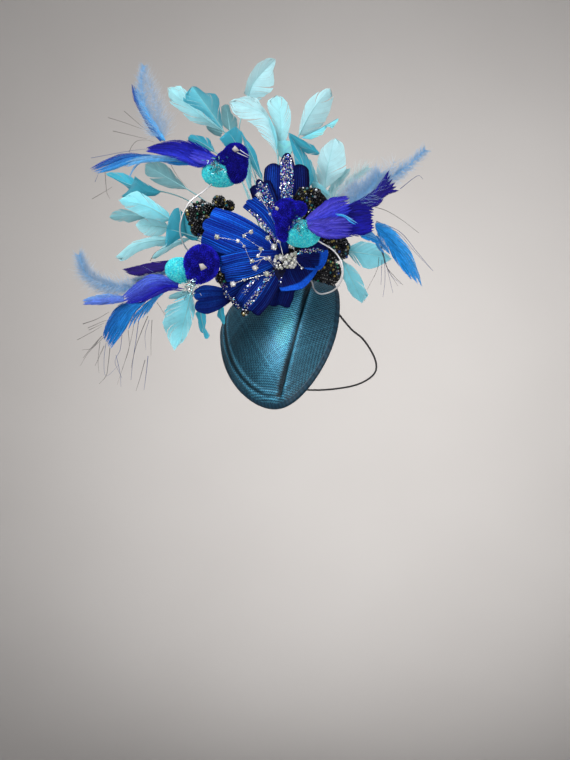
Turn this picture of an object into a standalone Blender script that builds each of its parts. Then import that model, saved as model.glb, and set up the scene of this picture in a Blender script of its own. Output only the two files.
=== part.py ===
"""A feather, flower and bird fascinator on a teardrop percher cap of sinamay straw.

The cap sits tilted on the front of the head. A pad of bound stems on its top carries a big velvet
flower, black beaded leaves, crystal sprays, aqua goose feathers and three craft birds on silver wires.
All sizes are in millimetres. +X is to the right as seen from the front, +Y to the back, +Z up.
"""

import math

import bmesh
import bpy
from mathutils import Matrix, Vector

MM = 0.001

# The front drawing: places are given as they appear from the front at the cap's own distance,
# from a viewpoint level with the forehead, with the depth (y) of each place beside them.
VIEW_DISTANCE = 1200
VIEW_X = 3
VIEW_Z = -40

# Cap
CAP_ALONG = Vector((-0.03, 0.55, 0.832)).normalized()
CAP_OUT = Vector((-0.447, -0.747, 0.480)).normalized()
CAP_HALF_WIDTH = 67
CAP_FRONT_LENGTH = 108
CAP_BACK_LENGTH = 52
CAP_MIDDLE = (-2, 28)
CAP_TIP_NARROWING = 0.2
CAP_HEIGHT = 36
CAP_ROUNDNESS = 2.2
CAP_WALL = 1.8
CAP_RIM_BAND = 3
CREASE_START = (-5, -62)
CREASE_END = (42, 41)
CREASE_DEPTH = 3.0
CREASE_SPREAD = 4.5
BORDER_SHARE = 0.84
BORDER_HEIGHT = 1.6
BORDER_SPREAD = 0.05

# Seated faces keep this distance, and what is cut to a rounded neighbour a little more
GAP = 0.3
TRIM_GAP = 0.4

# Pad of bound stems
PAD_MIDDLE = Vector((-3, -22, 61))
PAD_TOWARDS_FLOWER = Vector((2, -30, 5)).normalized()
PAD_HALF_LENGTH = 32
PAD_RADIUS = 21
STEM_ROOT = Vector((-3, -20, 62))
STEM_ROOT_SPREAD = 14
STEM_ROOT_SHARE = 0.38
PETAL_ROOT = 19
PETAL_LAYER = 5

ELASTIC_DIAMETER = 2.0
STEM_WIDTH = 1.6
FEATHER_THICKNESS = 0.9
FEATHER_CUP = 0.18
PETAL_THICKNESS = 1.3
PETAL_ROOT_WIDTH = 5
PETAL_CUP = 0.06
LEAF_THICKNESS = 1.6
BIRD_WIRE_DIAMETER = 1.5
SPRAY_WIRE_DIAMETER = 1.0

AQUA = (0.22, 0.62, 0.68)
ROYAL = (0.03, 0.04, 0.45)
AZURE = (0.06, 0.28, 0.72)
TURQUOISE = (0.02, 0.62, 0.68)
VELVET = (0.02, 0.04, 0.42)
TEAL_STRAW = (0.03, 0.16, 0.22)
JET = (0.01, 0.01, 0.015)
SILVER = (0.85, 0.85, 0.86)
PEARL = (0.80, 0.76, 0.68)


def clear_scene():
    for item in list(bpy.data.objects):
        bpy.data.objects.remove(item, do_unlink=True)


def material(name, colour, roughness, metallic=0.0):
    made = bpy.data.materials.get(name)
    if made:
        return made
    made = bpy.data.materials.new(name)
    made.use_nodes = True
    shader = made.node_tree.nodes["Principled BSDF"]
    shader.inputs["Base Color"].default_value = (*colour, 1)
    shader.inputs["Roughness"].default_value = roughness
    shader.inputs["Metallic"].default_value = metallic
    return made


def front(x, z, y):
    """The place that appears at (x, z) in the front drawing and lies at depth y."""
    share = (VIEW_DISTANCE + y) / VIEW_DISTANCE
    return Vector((VIEW_X + (x - VIEW_X) * share, y, VIEW_Z + (z - VIEW_Z) * share))


def add_object(name, mesh, finish):
    made = bpy.data.objects.new(name, mesh)
    mesh.materials.append(finish)
    bpy.context.scene.collection.objects.link(made)
    return made


def mesh_object(name, points, faces, finish):
    """A mesh of points in millimetres, with all its faces turned the same way, outwards."""
    mesh = bpy.data.meshes.new(name)
    mesh.from_pydata([point * MM for point in points], [], faces)
    shell = bmesh.new()
    shell.from_mesh(mesh)
    bmesh.ops.recalc_face_normals(shell, faces=shell.faces)
    if shell.calc_volume(signed=True) < 0:
        bmesh.ops.reverse_faces(shell, faces=shell.faces)
    shell.to_mesh(mesh)
    shell.free()
    return add_object(name, mesh, finish)


def loft(name, rings, finish):
    """A closed solid through rings of equally many points."""
    count = len(rings[0])
    points = [point for ring in rings for point in ring]
    faces = [list(range(count)), [len(points) - 1 - i for i in range(count)]]
    for row in range(len(rings) - 1):
        for i in range(count):
            j = (i + 1) % count
            faces.append((row * count + i, row * count + j, (row + 1) * count + j, (row + 1) * count + i))
    return mesh_object(name, points, faces, finish)


def as_helper(item):
    """Turns an object into a cutter or a joined piece, which isn't part of the object by itself."""
    item.hide_render = True
    item.display_type = "WIRE"
    return item


def boolean(item, operation, other):
    step = item.modifiers.new(operation.lower() + " " + other.name, "BOOLEAN")
    step.operation = operation
    step.solver = "EXACT"
    step.object = other


def fuse(main, others):
    for other in others:
        boolean(main, "UNION", as_helper(other))
    return main


def trim(item, *cutters):
    for cutter in cutters:
        boolean(item, "DIFFERENCE", cutter)
    return item


def bezier(a, b, c, d, share):
    rest = 1 - share
    return a * rest**3 + b * (3 * rest * rest * share) + c * (3 * rest * share * share) + d * share**3


def smooth_route(points, per_span):
    """A Catmull-Rom curve through the points."""
    ends = [2 * points[0] - points[1], *points, 2 * points[-1] - points[-2]]
    route = []
    for a, b, c, d in zip(ends, ends[1:], ends[2:], ends[3:]):
        for step in range(per_span):
            t = step / per_span
            route.append(
                0.5 * (2 * b + (c - a) * t + (2 * a - 5 * b + 4 * c - d) * t**2
                       + (3 * b - a - 3 * c + d) * t**3)
            )
    route.append(points[-1])
    return route


def directions(line):
    found = []
    for i in range(len(line)):
        ahead = line[min(i + 1, len(line) - 1)] - line[max(i - 1, 0)]
        found.append(ahead.normalized())
    return found


def tube(name, line, diameter, finish, sides=6):
    """A round wire along a line, with its section carried along without twist."""
    along = directions(line)
    side = along[0].orthogonal().normalized()
    rings = []
    for point, way in zip(line, along):
        side = (side - way * side.dot(way)).normalized()
        other = way.cross(side)
        ring = []
        for i in range(sides):
            turn = 2 * math.pi * i / sides
            ring.append(point + (side * math.cos(turn) + other * math.sin(turn)) * diameter / 2)
        rings.append(ring)
    return loft(name, rings, finish)


def ball(name, middle, half_sizes, finish, along=Vector((0, 0, 1)), segments=10, rings=5, grow=0.0):
    """An ellipsoid whose own Z lies along the given way."""
    bpy.ops.mesh.primitive_uv_sphere_add(
        segments=segments, ring_count=rings, radius=MM, location=middle * MM,
        rotation=along.to_track_quat("Z", "X").to_euler(),
    )
    made = bpy.context.object
    made.name = name
    made.data.name = name
    made.data.transform(Matrix.Diagonal((*(size + grow for size in half_sizes), 1)))
    made.data.shade_smooth()
    made.data.materials.append(finish)
    return made


# The cap


def cap_place(u, v, w):
    across = CAP_ALONG.cross(CAP_OUT)
    return across * u + CAP_ALONG * v + CAP_OUT * w


def cap_rim(turn, grow=0.0):
    """The rim's outline in the cap's own plane: an egg with its narrow end at the front."""
    cosine = math.cos(turn)
    narrowing = 1 - CAP_TIP_NARROWING * max(0.0, -cosine) ** 3
    length = CAP_BACK_LENGTH if cosine > 0 else CAP_FRONT_LENGTH
    u = (CAP_HALF_WIDTH + grow) * math.sin(turn) * narrowing
    return CAP_MIDDLE[0] + u, CAP_MIDDLE[1] + (length + grow) * cosine


def bump(distance, spread):
    return math.exp(-((distance / spread) ** 2))


def cap_relief(u, v, share, turn):
    """The centre crease, with the fold standing up beside it, and the folded border."""
    run = Vector(CREASE_END) - Vector(CREASE_START)
    place = Vector((u, v)) - Vector(CREASE_START)
    along = place.dot(run) / run.length
    off = (place.x * run.y - place.y * run.x) / run.length
    inside = max(0.0, min(1.0, (along + 6) / 12)) * max(0.0, min(1.0, (run.length + 10 - along) / 20))
    crease = bump(off, CREASE_SPREAD) - 0.6 * bump(off - 1.7 * CREASE_SPREAD, CREASE_SPREAD)
    front_half = max(0.0, min(1.0, 0.6 - math.cos(turn)))
    border = BORDER_HEIGHT * front_half * bump(share - BORDER_SHARE, BORDER_SPREAD)
    return border - CREASE_DEPTH * inside * crease


def cap_surface(turn, share, grow=0.0):
    rim_u, rim_v = cap_rim(turn, grow)
    u = CAP_MIDDLE[0] + (rim_u - CAP_MIDDLE[0]) * share
    v = CAP_MIDDLE[1] + (rim_v - CAP_MIDDLE[1]) * share
    height = CAP_RIM_BAND + (CAP_HEIGHT - CAP_RIM_BAND) * (1 - share**CAP_ROUNDNESS)
    return u, v, height + cap_relief(u, v, share, turn) * (share < 1) + grow


CAP_TURNS = 32
CAP_SHARES = (0.22, 0.44, 0.62, 0.76, 0.84, 0.92, 1.0)


def cap_dome(grow=0.0):
    """The outer surface, down over the rim's upright band to the rim's own plane."""
    turns = [2 * math.pi * step / CAP_TURNS for step in range(CAP_TURNS)]
    points = [cap_place(*CAP_MIDDLE, CAP_HEIGHT + grow)]
    for share in CAP_SHARES:
        points += [cap_place(*cap_surface(turn, share, grow)) for turn in turns]
    points += [cap_place(*cap_rim(turn, grow), 0) for turn in turns]
    faces = []
    for i in range(CAP_TURNS):
        j = (i + 1) % CAP_TURNS
        faces.append((0, 1 + j, 1 + i))
        for row in range(len(CAP_SHARES)):
            near, far = 1 + row * CAP_TURNS, 1 + (row + 1) * CAP_TURNS
            faces.append((near + i, near + j, far + j, far + i))
    return points, faces


def build_cap():
    """The sinamay shell, open towards the head, and the filled form that trims what rests on it."""
    finish = material("sinamay", TEAL_STRAW, 0.55)
    points, faces = cap_dome()
    mesh = bpy.data.meshes.new("cap")
    mesh.from_pydata([point * MM for point in points], [], faces)
    shell = bmesh.new()
    shell.from_mesh(mesh)
    bmesh.ops.recalc_face_normals(shell, faces=shell.faces)
    shell.faces.ensure_lookup_table()
    if shell.faces[0].normal.dot(CAP_OUT) < 0:
        bmesh.ops.reverse_faces(shell, faces=shell.faces)
    shell.to_mesh(mesh)
    shell.free()
    cap = add_object("cap", mesh, finish)
    wall = cap.modifiers.new("wall", "SOLIDIFY")
    wall.thickness = CAP_WALL * MM
    wall.offset = -1

    points, faces = cap_dome(TRIM_GAP)
    below = len(points)
    last = 1 + len(CAP_SHARES) * CAP_TURNS
    points += [points[last + i] - CAP_OUT * CAP_HEIGHT for i in range(CAP_TURNS)]
    for i in range(CAP_TURNS):
        j = (i + 1) % CAP_TURNS
        faces.append((last + i, last + j, below + j, below + i))
    faces.append([below + i for i in range(CAP_TURNS)])
    return as_helper(mesh_object("cap_filled", points, faces, finish))


def build_elastic():
    """Round hat elastic, from the right of the rim round the back of the head to the left."""
    right = cap_place(*cap_rim(math.radians(100), -CAP_WALL / 2), -GAP)
    left = cap_place(*cap_rim(math.radians(264), -CAP_WALL / 2), -GAP)
    route = smooth_route([
        right,
        right - CAP_OUT * 5,
        front(70, 10, -12),
        front(80, 2, -2),
        front(88, -9, 9),
        Vector((95, 21, -20)),
        Vector((97, 40, -30)),
        Vector((92, 60, -38)),
        Vector((80, 82, -45)),
        Vector((62, 99, -49)),
        Vector((40, 109, -51)),
        Vector((18, 111, -50)),
        Vector((-4, 106, -46)),
        Vector((-24, 94, -39)),
        Vector((-40, 77, -29)),
        Vector((-51, 58, -18)),
        left - CAP_OUT * 6,
        left,
    ], 3)
    curve = bpy.data.curves.new("elastic", "CURVE")
    curve.dimensions = "3D"
    curve.bevel_depth = ELASTIC_DIAMETER / 2 * MM
    curve.bevel_resolution = 2
    curve.use_fill_caps = True
    spline = curve.splines.new("POLY")
    spline.points.add(len(route) - 1)
    for point, place in zip(spline.points, route):
        point.co = (*(place * MM), 1)
    return add_object("elastic", curve, material("elastic", JET, 0.7))


def build_pad(cap_filled):
    finish = material("binding", (0.02, 0.03, 0.12), 0.8)
    sizes = (PAD_RADIUS, PAD_RADIUS, PAD_HALF_LENGTH)
    pad = ball("stem_binding", PAD_MIDDLE, sizes, finish, PAD_TOWARDS_FLOWER, 16, 8)
    trim(pad, cap_filled)
    cutter = ball("pad_cutter", PAD_MIDDLE, sizes, finish, PAD_TOWARDS_FLOWER, 16, 8, TRIM_GAP)
    return as_helper(cutter)


# Feathers

VANE_SHARES = (0.12, 0.36, 0.62, 0.85, 1.0)
STEM_STEPS = 2


def vane_width(share, width):
    return max(1.2, width * math.sin(math.pi * min(0.985, share) ** 0.9) ** 0.7)


def feather(name, root, base, tip, width, bow, roll, finish):
    """One feather as a single solid: a thin stem from its root to the vane's base, then the vane.

    bow moves the vane's middle sideways in the front view, and roll turns the vane about its quill.
    """
    to_viewer = Vector((0, -1, 0))
    sideways = (tip - base).cross(to_viewer).normalized()
    middle = (base + tip) / 2 - sideways * bow
    start_way = (middle - base).normalized()
    reach = (base - root).length
    line, sizes = [], []
    for step in range(STEM_STEPS + 1):
        share = step / STEM_STEPS
        line.append(bezier(root, root + (base - root) * 0.4, base - start_way * reach * 0.35, base, share))
        sizes.append((STEM_WIDTH, STEM_WIDTH))
    for share in VANE_SHARES:
        rest = 1 - share
        line.append(base * rest**2 + middle * (2 * rest * share) + tip * share**2)
        sizes.append((vane_width(share, width), FEATHER_THICKNESS))
    rings = []
    for point, ahead, (wide, thick) in zip(line, directions(line), sizes):
        side = Matrix.Rotation(math.radians(roll), 3, ahead) @ ahead.cross(to_viewer).normalized()
        facing = side.cross(ahead).normalized()
        edge = side * wide / 2
        low = facing * (-FEATHER_CUP * (wide - STEM_WIDTH) / 2)
        half = facing * thick / 2
        rings.append([point - edge + low + half, point + half, point + edge + low + half,
                      point + edge + low - half, point - half, point - edge + low - half])
    return loft(name, rings, finish)


# name, base x z y, tip x z y, vane width, bow, roll
AQUA_FEATHERS = (
    ("feather_left_top_light", -59, 209, 14, -116, 254, 4, 30, 2, 10),
    ("feather_left_top_teal", -57, 207, 0, -98, 253, -14, 23, 2, -8),
    ("feather_left_top_square", -42, 190, -10, -58, 213, -18, 20, 0, 12),
    ("feather_left_top_blade", -20, 160, 6, -45, 213, 6, 13, -4, 15),
    ("feather_left_behind_bird", -69, 185, 20, -94, 205, 20, 18, 2, 0),
    ("feather_top_tall", -30, 243, 48, -5, 282, 44, 25, 3, 0),
    ("feather_top_curved", -5, 188, 12, -53, 240, 16, 25, -9, 12),
    ("feather_top_left", -5, 192, 24, -2, 246, 30, 25, 0, -10),
    ("feather_top_blade", 24, 168, 0, 6, 208, -10, 15, -3, -20),
    ("feather_top_right", 18, 203, 33, 47, 253, 34, 24, 3, 8),
    ("feather_right_soft", 33, 150, 10, 58, 202, 16, 34, 4, -6),
    ("feather_right_low_soft", 40, 138, 24, 70, 170, 36, 24, 4, 0),
    ("feather_right_fluffy", 50, 132, -4, 86, 174, 6, 26, 4, 10),
    ("feather_left_grey", -85, 145, 4, -138, 176, 6, 23, -2, 6),
    ("feather_left_far", -124, 142, 18, -177, 169, 20, 20, -2, -8),
    ("feather_left_light", -110, 118, -6, -164, 142, -16, 25, 2, 4),
    ("feather_left_small", -132, 126, 8, -173, 125, 8, 13, 1, 0),
    ("feather_left_pale", -112, 108, 2, -148, 115, 0, 17, 1, 6),
    ("feather_left_long", -112, 101, -12, -168, 82, -22, 14, 3, -6),
    ("feather_left_curled", -92, 118, -20, -116, 92, -30, 21, 5, 18),
    ("feather_low_light", -88, 40, -22, -107, -11, -40, 25, 2, 0),
    ("feather_right_fan", 67, 88, -20, 114, 76, -28, 22, 2, 0),
    ("feather_right_low", 62, 78, -26, 79, 40, -36, 17, 2, 12),
)

# Two feathers on one stem: name, then for each the same columns
FEATHER_PAIRS = (
    ("feather_left_top_pair", (-50, 209, 31, -56, 237, 32, 16, 0, 0), (-58, 205, 31, -77, 214, 29, 9, 0, 0)),
    ("feather_low_pair", (-84, 35, -12, -74, 2, -20, 10, 1, 0), (-60, 40, -16, -58, 16, -22, 8, 1, 0)),
)


def feather_from_row(name, root, row, finish):
    base_x, base_z, base_y, tip_x, tip_z, tip_y, width, bow, roll = row
    base, tip = front(base_x, base_z, base_y), front(tip_x, tip_z, tip_y)
    return feather(name, root, base, tip, width, bow, roll, finish)


def stem_root(row):
    """Stems that end further back also leave the pad further back."""
    depth = row[2] * STEM_ROOT_SHARE
    return STEM_ROOT + Vector((0, max(-STEM_ROOT_SPREAD, min(STEM_ROOT_SPREAD, depth)), 0))


def feather_pair(name, root, rows, finish):
    """Two feathers, of which the second branches off the first at its vane's base."""
    main = feather_from_row(name, root, rows[0], finish)
    x, z, y = rows[0][:3]
    other = feather_from_row(name + "_second", front(x, z, y), rows[1], finish)
    return fuse(main, [other])


def build_aqua_feathers(pad_cutter):
    finish = material("aqua_feather", AQUA, 0.6)
    for name, *row in AQUA_FEATHERS:
        trim(feather_from_row(name, stem_root(row), row, finish), pad_cutter)
    for name, *rows in FEATHER_PAIRS:
        trim(feather_pair(name, stem_root(rows[0]), rows, finish), pad_cutter)


# Flower

LOBES = (0.82, 0.93, 0.92, 1.0, 0.92, 0.93, 0.82)
PETAL_ROWS = 4

# name, layer from the back, tip x z y, width, forward arch, roll
PETALS = (
    ("petal_top", 1, 5, 187, -48, 43, 4, 3),
    ("petal_top_left", 2, -27, 160, -55, 24, 4, -3),
    ("petal_left_strip", 0, -37, 138, -43, 28, 4, 3),
    ("petal_left_big", 1, -79, 119, -52, 38, 4, 3),
    ("petal_left_middle", -1, -74, 88, -40, 30, 4, 0),
    ("petal_left_low", 2, -64, 66, -57, 26, 5, -3),
    ("petal_low_outer", 0, -66, 44, -44, 24, 4, 3),
    ("petal_low_left", 1, -40, 28, -52, 30, 5, -3),
    ("petal_low", -1, -10, 34, -42, 34, 4, 0),
    ("petal_low_right", 1, 22, 46, -52, 30, 5, 3),
    ("petal_right", 0, 43, 84, -48, 36, 5, -3),
    ("petal_small_heart", -2, -86, 36, -32, 26, 2, 0),
)


def petal_root(layer):
    return PAD_MIDDLE + PAD_TOWARDS_FLOWER * (PETAL_ROOT + PETAL_LAYER * layer)


def petal_place(root, tip, width, arch, roll, share, across):
    """A place on a petal: it widens from its root and arches forward; across runs from -1 to 1."""
    to_viewer = Vector((0, -1, 0))
    way = (tip - root).normalized()
    side = Matrix.Rotation(math.radians(roll), 3, way) @ way.cross(to_viewer).normalized()
    facing = side.cross(way).normalized()
    spread = math.sin(min(1.0, share / 0.75) * math.pi / 2) ** 1.3
    wide = PETAL_ROOT_WIDTH + (width - PETAL_ROOT_WIDTH) * spread * (1 - 0.5 * max(0.0, share - 0.75))
    lift = arch * math.sin(math.pi * share) - PETAL_CUP * wide * across**2
    return root.lerp(tip, share) + side * (across * wide / 2) + facing * lift


def petal(name, root, tip, width, arch, roll, finish, thickness=PETAL_THICKNESS, lobes=LOBES):
    """A petal of stiffened velvet that ends in lobes."""
    points, faces = [], []
    columns = len(lobes)
    for row in range(PETAL_ROWS + 1):
        share = row / PETAL_ROWS
        for column, lobe in enumerate(lobes):
            reach = share * (1 - (1 - lobe) * share)
            across = 2 * column / (columns - 1) - 1
            points.append(petal_place(root, tip, width, arch, roll, reach, across))
    for row in range(PETAL_ROWS):
        for column in range(columns - 1):
            first = row * columns + column
            faces.append((first, first + 1, first + columns + 1, first + columns))
    made = mesh_object(name, points, faces, finish)
    skin = made.modifiers.new("thickness", "SOLIDIFY")
    skin.thickness = thickness * MM
    skin.offset = 0
    return made


# Crystal sprays: name, place x z y of the twisted knot, then branches of beads x z y radius,
# in order out from the flower's middle
CRYSTAL_SPRAYS = (
    ("crystal_spray_left", (-6, 71, -54.5), (
        ((-14, 82, -64, 2.6), (-43, 101, -70, 2.6), (-65, 103, -72, 2.6)),
        ((-8, 93, -64, 2.8), (-31, 107, -70, 2.4)),
        ((-15, 65, -66, 2.8), (-49, 55, -70, 2.8)),
    )),
    ("crystal_spray_middle", (4, 72, -54.5), (
        ((9, 74, -62, 3.0),),
        ((-2, 99, -63, 2.6), (-9, 130, -66, 2.6), (-23, 144, -65, 3.0)),
        ((13, 88, -62, 2.8),),
    )),
)
SPRAY_KNOT_RADIUS = 3


def build_petals(pad_cutter):
    finish = material("velvet", VELVET, 0.85)
    knots = []
    for name, knot, _ in CRYSTAL_SPRAYS:
        radius = SPRAY_KNOT_RADIUS + TRIM_GAP
        knots.append(as_helper(ball(name + "_knot_cutter", front(*knot), (radius,) * 3, finish)))
    for name, layer, x, z, y, width, arch, roll in PETALS:
        made = petal(name, petal_root(layer), front(x, z, y), width, arch, roll, finish)
        trim(made, pad_cutter, *knots)


# Black beaded leaves: name, layer from the back, then leaf tips x z y width, then berry beads as the
# number of their leaf, the share of its length, the place across it from -1 to 1, and the radius
BEADED_LEAVES = (
    ("beaded_leaf_left", -1.4, ((-92, 138, -30, 32),),
     ((0, 0.95, -0.15, 7), (0, 0.86, 0.55, 6), (0, 0.74, -0.3, 5), (0, 0.84, -0.95, 6.5))),
    ("beaded_leaf_top", -0.6, ((38, 148, -30, 32),), ((0, 0.95, 0.1, 4.5), (0, 0.86, -0.6, 4))),
    ("beaded_leaf_right", -1.8, ((67, 96, -30, 26), (59, 64, -32, 22)),
     ((0, 0.93, 0.1, 4.5), (1, 0.9, 0, 4))),
)
LEAF_LOBES = (0.9, 0.97, 1.0, 0.97, 0.9)
LEAF_ARCH = 2


def build_beaded_leaves(pad_cutter):
    finish = material("jet_beads", JET, 0.15)
    for name, layer, tips, berries in BEADED_LEAVES:
        root = petal_root(layer)
        places = [(front(x, z, y), width) for x, z, y, width in tips]
        parts = []
        for i, (tip, width) in enumerate(places):
            parts.append(petal(f"{name}_{i}", root, tip, width, LEAF_ARCH, 0, finish, LEAF_THICKNESS,
                               LEAF_LOBES))
        for i, (leaf, share, across, radius) in enumerate(berries):
            tip, width = places[leaf]
            middle = petal_place(root, tip, width, LEAF_ARCH, 0, share, across)
            parts.append(ball(f"{name}_berry_{i}", middle, (radius,) * 3, finish, rings=4))
        parts[0].name = name
        fuse(parts[0], parts[1:])
        trim(parts[0], pad_cutter)


def build_crystal_sprays(pad_cutter):
    finish = material("crystal", PEARL, 0.15)
    for name, (knot_x, knot_z, knot_y), branches in CRYSTAL_SPRAYS:
        knot = front(knot_x, knot_z, knot_y)
        main = ball(name, knot, (SPRAY_KNOT_RADIUS,) * 3, finish, segments=8, rings=4)
        parts = []
        for i, branch in enumerate(branches):
            stops = [knot, *(front(x, z, y) for x, z, y, _ in branch)]
            parts.append(tube(f"{name}_wire_{i}", stops, SPRAY_WIRE_DIAMETER, finish, 5))
            for j, (x, z, y, radius) in enumerate(branch):
                parts.append(ball(f"{name}_bead_{i}_{j}", front(x, z, y), (radius,) * 3, finish, rings=4))
        fuse(main, parts)
        trim(main, pad_cutter)


# Birds. Each row of parts: x z y of the middle, three half sizes, and x z y of the way that the third
# half size points. Feather rows are base x z y, tip x z y, width, bow, roll.
BIRDS = {
    "bird_left": {
        "body": ((-63, 164, -38), (12, 12, 18), (-1, 0.25, 0.1)),
        "head": ((-46, 184, -42), (12, 12, 12.5), (0, 1, 0)),
        "breast": ((-48, 166, -40), (13, 13, 15), (0, 1, 0)),
        "beak": ((-44, 186, -50), (-27, 181, -66)),
        "wing": ((-86, 172, -42, -139, 190, -46, 15, 5, 0), (-88, 168, -38, -130, 178, -38, 13, 5, -12)),
        "tail": ((-88, 172, -26, -190, 170, -22, 16, 14, 0), (-100, 190, -18, -136, 276, -6, 17, -9, 0)),
    },
    "bird_right": {
        "body": ((20, 109, -84), (13, 13, 16), (1, 0.1, -0.1)),
        "head": ((5, 125, -86), (13.5, 13.5, 13.5), (0, 1, 0)),
        "breast": ((2, 112, -84), (11, 11, 12), (0, 1, 0)),
        "beak": ((2, 126, -76), (-8, 133, -60)),
        "wing": ((36, 114, -88, 97, 104, -94, 26, 4, -8), (36, 118, -80, 96, 142, -78, 22, 2, 10)),
        "tail": ((60, 112, -70, 138, 52, -62, 20, 12, 8), (66, 134, -66, 143, 188, -56, 20, -4, 0)),
    },
    "bird_low": {
        "body": ((-102, 68, -54), (12, 12, 16), (-1, 0, 0.3)),
        "head": ((-79, 73, -66), (15, 15, 13.5), (0, 1, 0)),
        "breast": ((-82, 68, -62), (12, 12, 11), (0, 1, 0)),
        "beak": ((-79, 73, -78), (-73, 70, -98)),
        "wing": ((-121, 78, -50, -163, 71, -52, 13, 5, 0), (-122, 66, -57, -163, 38, -60, 17, 7, 0)),
        "tail": ((-124, 62, -44, -203, 88, -36, 16, -12, 0), (-130, 50, -47, -174, -8, -45, 17, 6, 0)),
    },
}
BEAK_WIDTH = 3.4
BEAK_TIP_WIDTH = 1.2


def beak(name, start, end, finish):
    """A folded, tapering beak with a kite-shaped section."""
    way = (end - start).normalized()
    side = way.cross(Vector((0, 0, 1))).normalized()
    up = side.cross(way)
    rings = []
    for place, wide in ((start, BEAK_WIDTH), (end, BEAK_TIP_WIDTH)):
        rings.append([place + side * wide / 2, place + up * wide / 3, place - side * wide / 2,
                      place - up * wide / 1.5])
    return loft(name, rings, finish)


def bird_balls(name, part, finish, grow=0.0):
    (x, z, y), sizes, way = part
    return ball(name, front(x, z, y), sizes, finish, Vector(way), 10, 6, grow)


def build_birds():
    velvet = material("bird_velvet", ROYAL, 0.9)
    crumb = material("bird_crumb", TURQUOISE, 0.8)
    royal = material("royal_feather", ROYAL, 0.6)
    azure = material("azure_feather", AZURE, 0.6)
    cutters = {}
    for bird, parts in BIRDS.items():
        head = bird_balls(bird + "_head", parts["head"], velvet)
        breast = bird_balls(bird + "_breast", parts["breast"], velvet)
        start, end = (front(x, z, y) for x, z, y in parts["beak"])
        fuse(head, [breast, beak(bird + "_beak", start, end, velvet)])
        head_cutter = as_helper(bird_balls(bird + "_head_cutter", parts["head"], velvet, TRIM_GAP))
        breast_cutter = as_helper(bird_balls(bird + "_breast_cutter", parts["breast"], velvet, TRIM_GAP))
        body = bird_balls(bird + "_body", parts["body"], crumb)
        trim(body, head_cutter, breast_cutter)
        body_cutter = as_helper(bird_balls(bird + "_body_cutter", parts["body"], crumb, TRIM_GAP))
        cutters[bird] = (body_cutter, head_cutter, breast_cutter)
        (x, z, y), _, _ = parts["body"]
        root = front(x, z, y)
        for part, finish in (("wing", royal), ("tail", azure)):
            trim(feather_pair(f"{bird}_{part}", root, parts[part], finish), *cutters[bird])
    return cutters


# Silver wires that carry the birds: name, bird, places x z y from the bird's belly to the pad
BIRD_WIRES = (
    ("bird_wire_left", "bird_left", (
        (-66, 160, -38), (-78, 149, -47), (-93, 137, -49), (-101, 120, -46), (-101, 103, -38),
        (-92, 88, -30), (-70, 78, -26), (-40, 71, -25), (-10, 64, -24))),
    ("bird_wire_right", "bird_right", (
        (28, 104, -82), (38, 98, -84), (52, 89, -85), (60, 76, -84), (60, 61, -80), (52, 50, -74),
        (39, 46, -65), (32, 51, -51), (29, 59, -40), (18, 62, -37), (4, 63, -36))),
    ("bird_wire_low", "bird_low", (
        (-98, 66, -50), (-84, 65, -38), (-60, 68, -31), (-30, 69, -28), (-8, 65, -26))),
)


def build_bird_wires(pad_cutter, bird_cutters):
    finish = material("silver_wire", SILVER, 0.25, 1.0)
    for name, bird, places in BIRD_WIRES:
        route = smooth_route([front(x, z, y) for x, z, y in places], 2)
        wire = tube(name, route, BIRD_WIRE_DIAMETER, finish)
        trim(wire, pad_cutter, *bird_cutters[bird])


clear_scene()
cap_form = build_cap()
build_elastic()
pad_form = build_pad(cap_form)
build_petals(pad_form)
build_beaded_leaves(pad_form)
build_crystal_sprays(pad_form)
bird_forms = build_birds()
build_bird_wires(pad_form, bird_forms)
build_aqua_feathers(pad_form)
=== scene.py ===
"""The looks of the fascinator: a cap of woven straw with a velvet flower, feathers, beads and craft birds.

Places are in millimetres until a mesh is made. A place given as x, z, y is where it appears in the
front drawing of the piece, with its depth last, as in the source of the solids.
"""

import math

import bpy
import numpy as np
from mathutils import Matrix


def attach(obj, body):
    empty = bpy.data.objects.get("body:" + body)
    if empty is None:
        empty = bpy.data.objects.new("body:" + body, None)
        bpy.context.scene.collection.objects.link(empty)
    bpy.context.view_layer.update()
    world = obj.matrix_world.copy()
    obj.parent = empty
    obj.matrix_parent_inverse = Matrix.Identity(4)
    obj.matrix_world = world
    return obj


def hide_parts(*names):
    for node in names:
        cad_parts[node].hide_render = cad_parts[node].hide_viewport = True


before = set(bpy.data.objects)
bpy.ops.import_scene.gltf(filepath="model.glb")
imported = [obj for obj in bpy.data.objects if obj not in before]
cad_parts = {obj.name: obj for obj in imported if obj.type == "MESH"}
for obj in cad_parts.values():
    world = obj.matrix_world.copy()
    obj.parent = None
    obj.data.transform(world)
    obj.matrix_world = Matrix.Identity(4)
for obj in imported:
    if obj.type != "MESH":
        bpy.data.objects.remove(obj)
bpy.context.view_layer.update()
scene = bpy.context.scene
scene.view_settings.view_transform = "Standard"

# View
# The piece keeps the height at which it is worn. The camera looks level and straight at it, from a
# little over a metre in front of it.
MM = 0.001
VIEW_DISTANCE = 1200
VIEW_X = 3
VIEW_Z = -40
LENS = 56.84
SENSOR_WIDTH = 36
VIEW_REACH = 20

camera_data = bpy.data.cameras.new("camera")
camera_data.lens = LENS
camera_data.sensor_width = SENSOR_WIDTH
camera_data.clip_end = VIEW_REACH
camera = bpy.data.objects.new("camera", camera_data)
camera.location = (VIEW_X * MM, -VIEW_DISTANCE * MM, VIEW_Z * MM)
camera.rotation_euler = (math.pi / 2, 0, 0)
scene.collection.objects.link(camera)
scene.camera = camera

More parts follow.
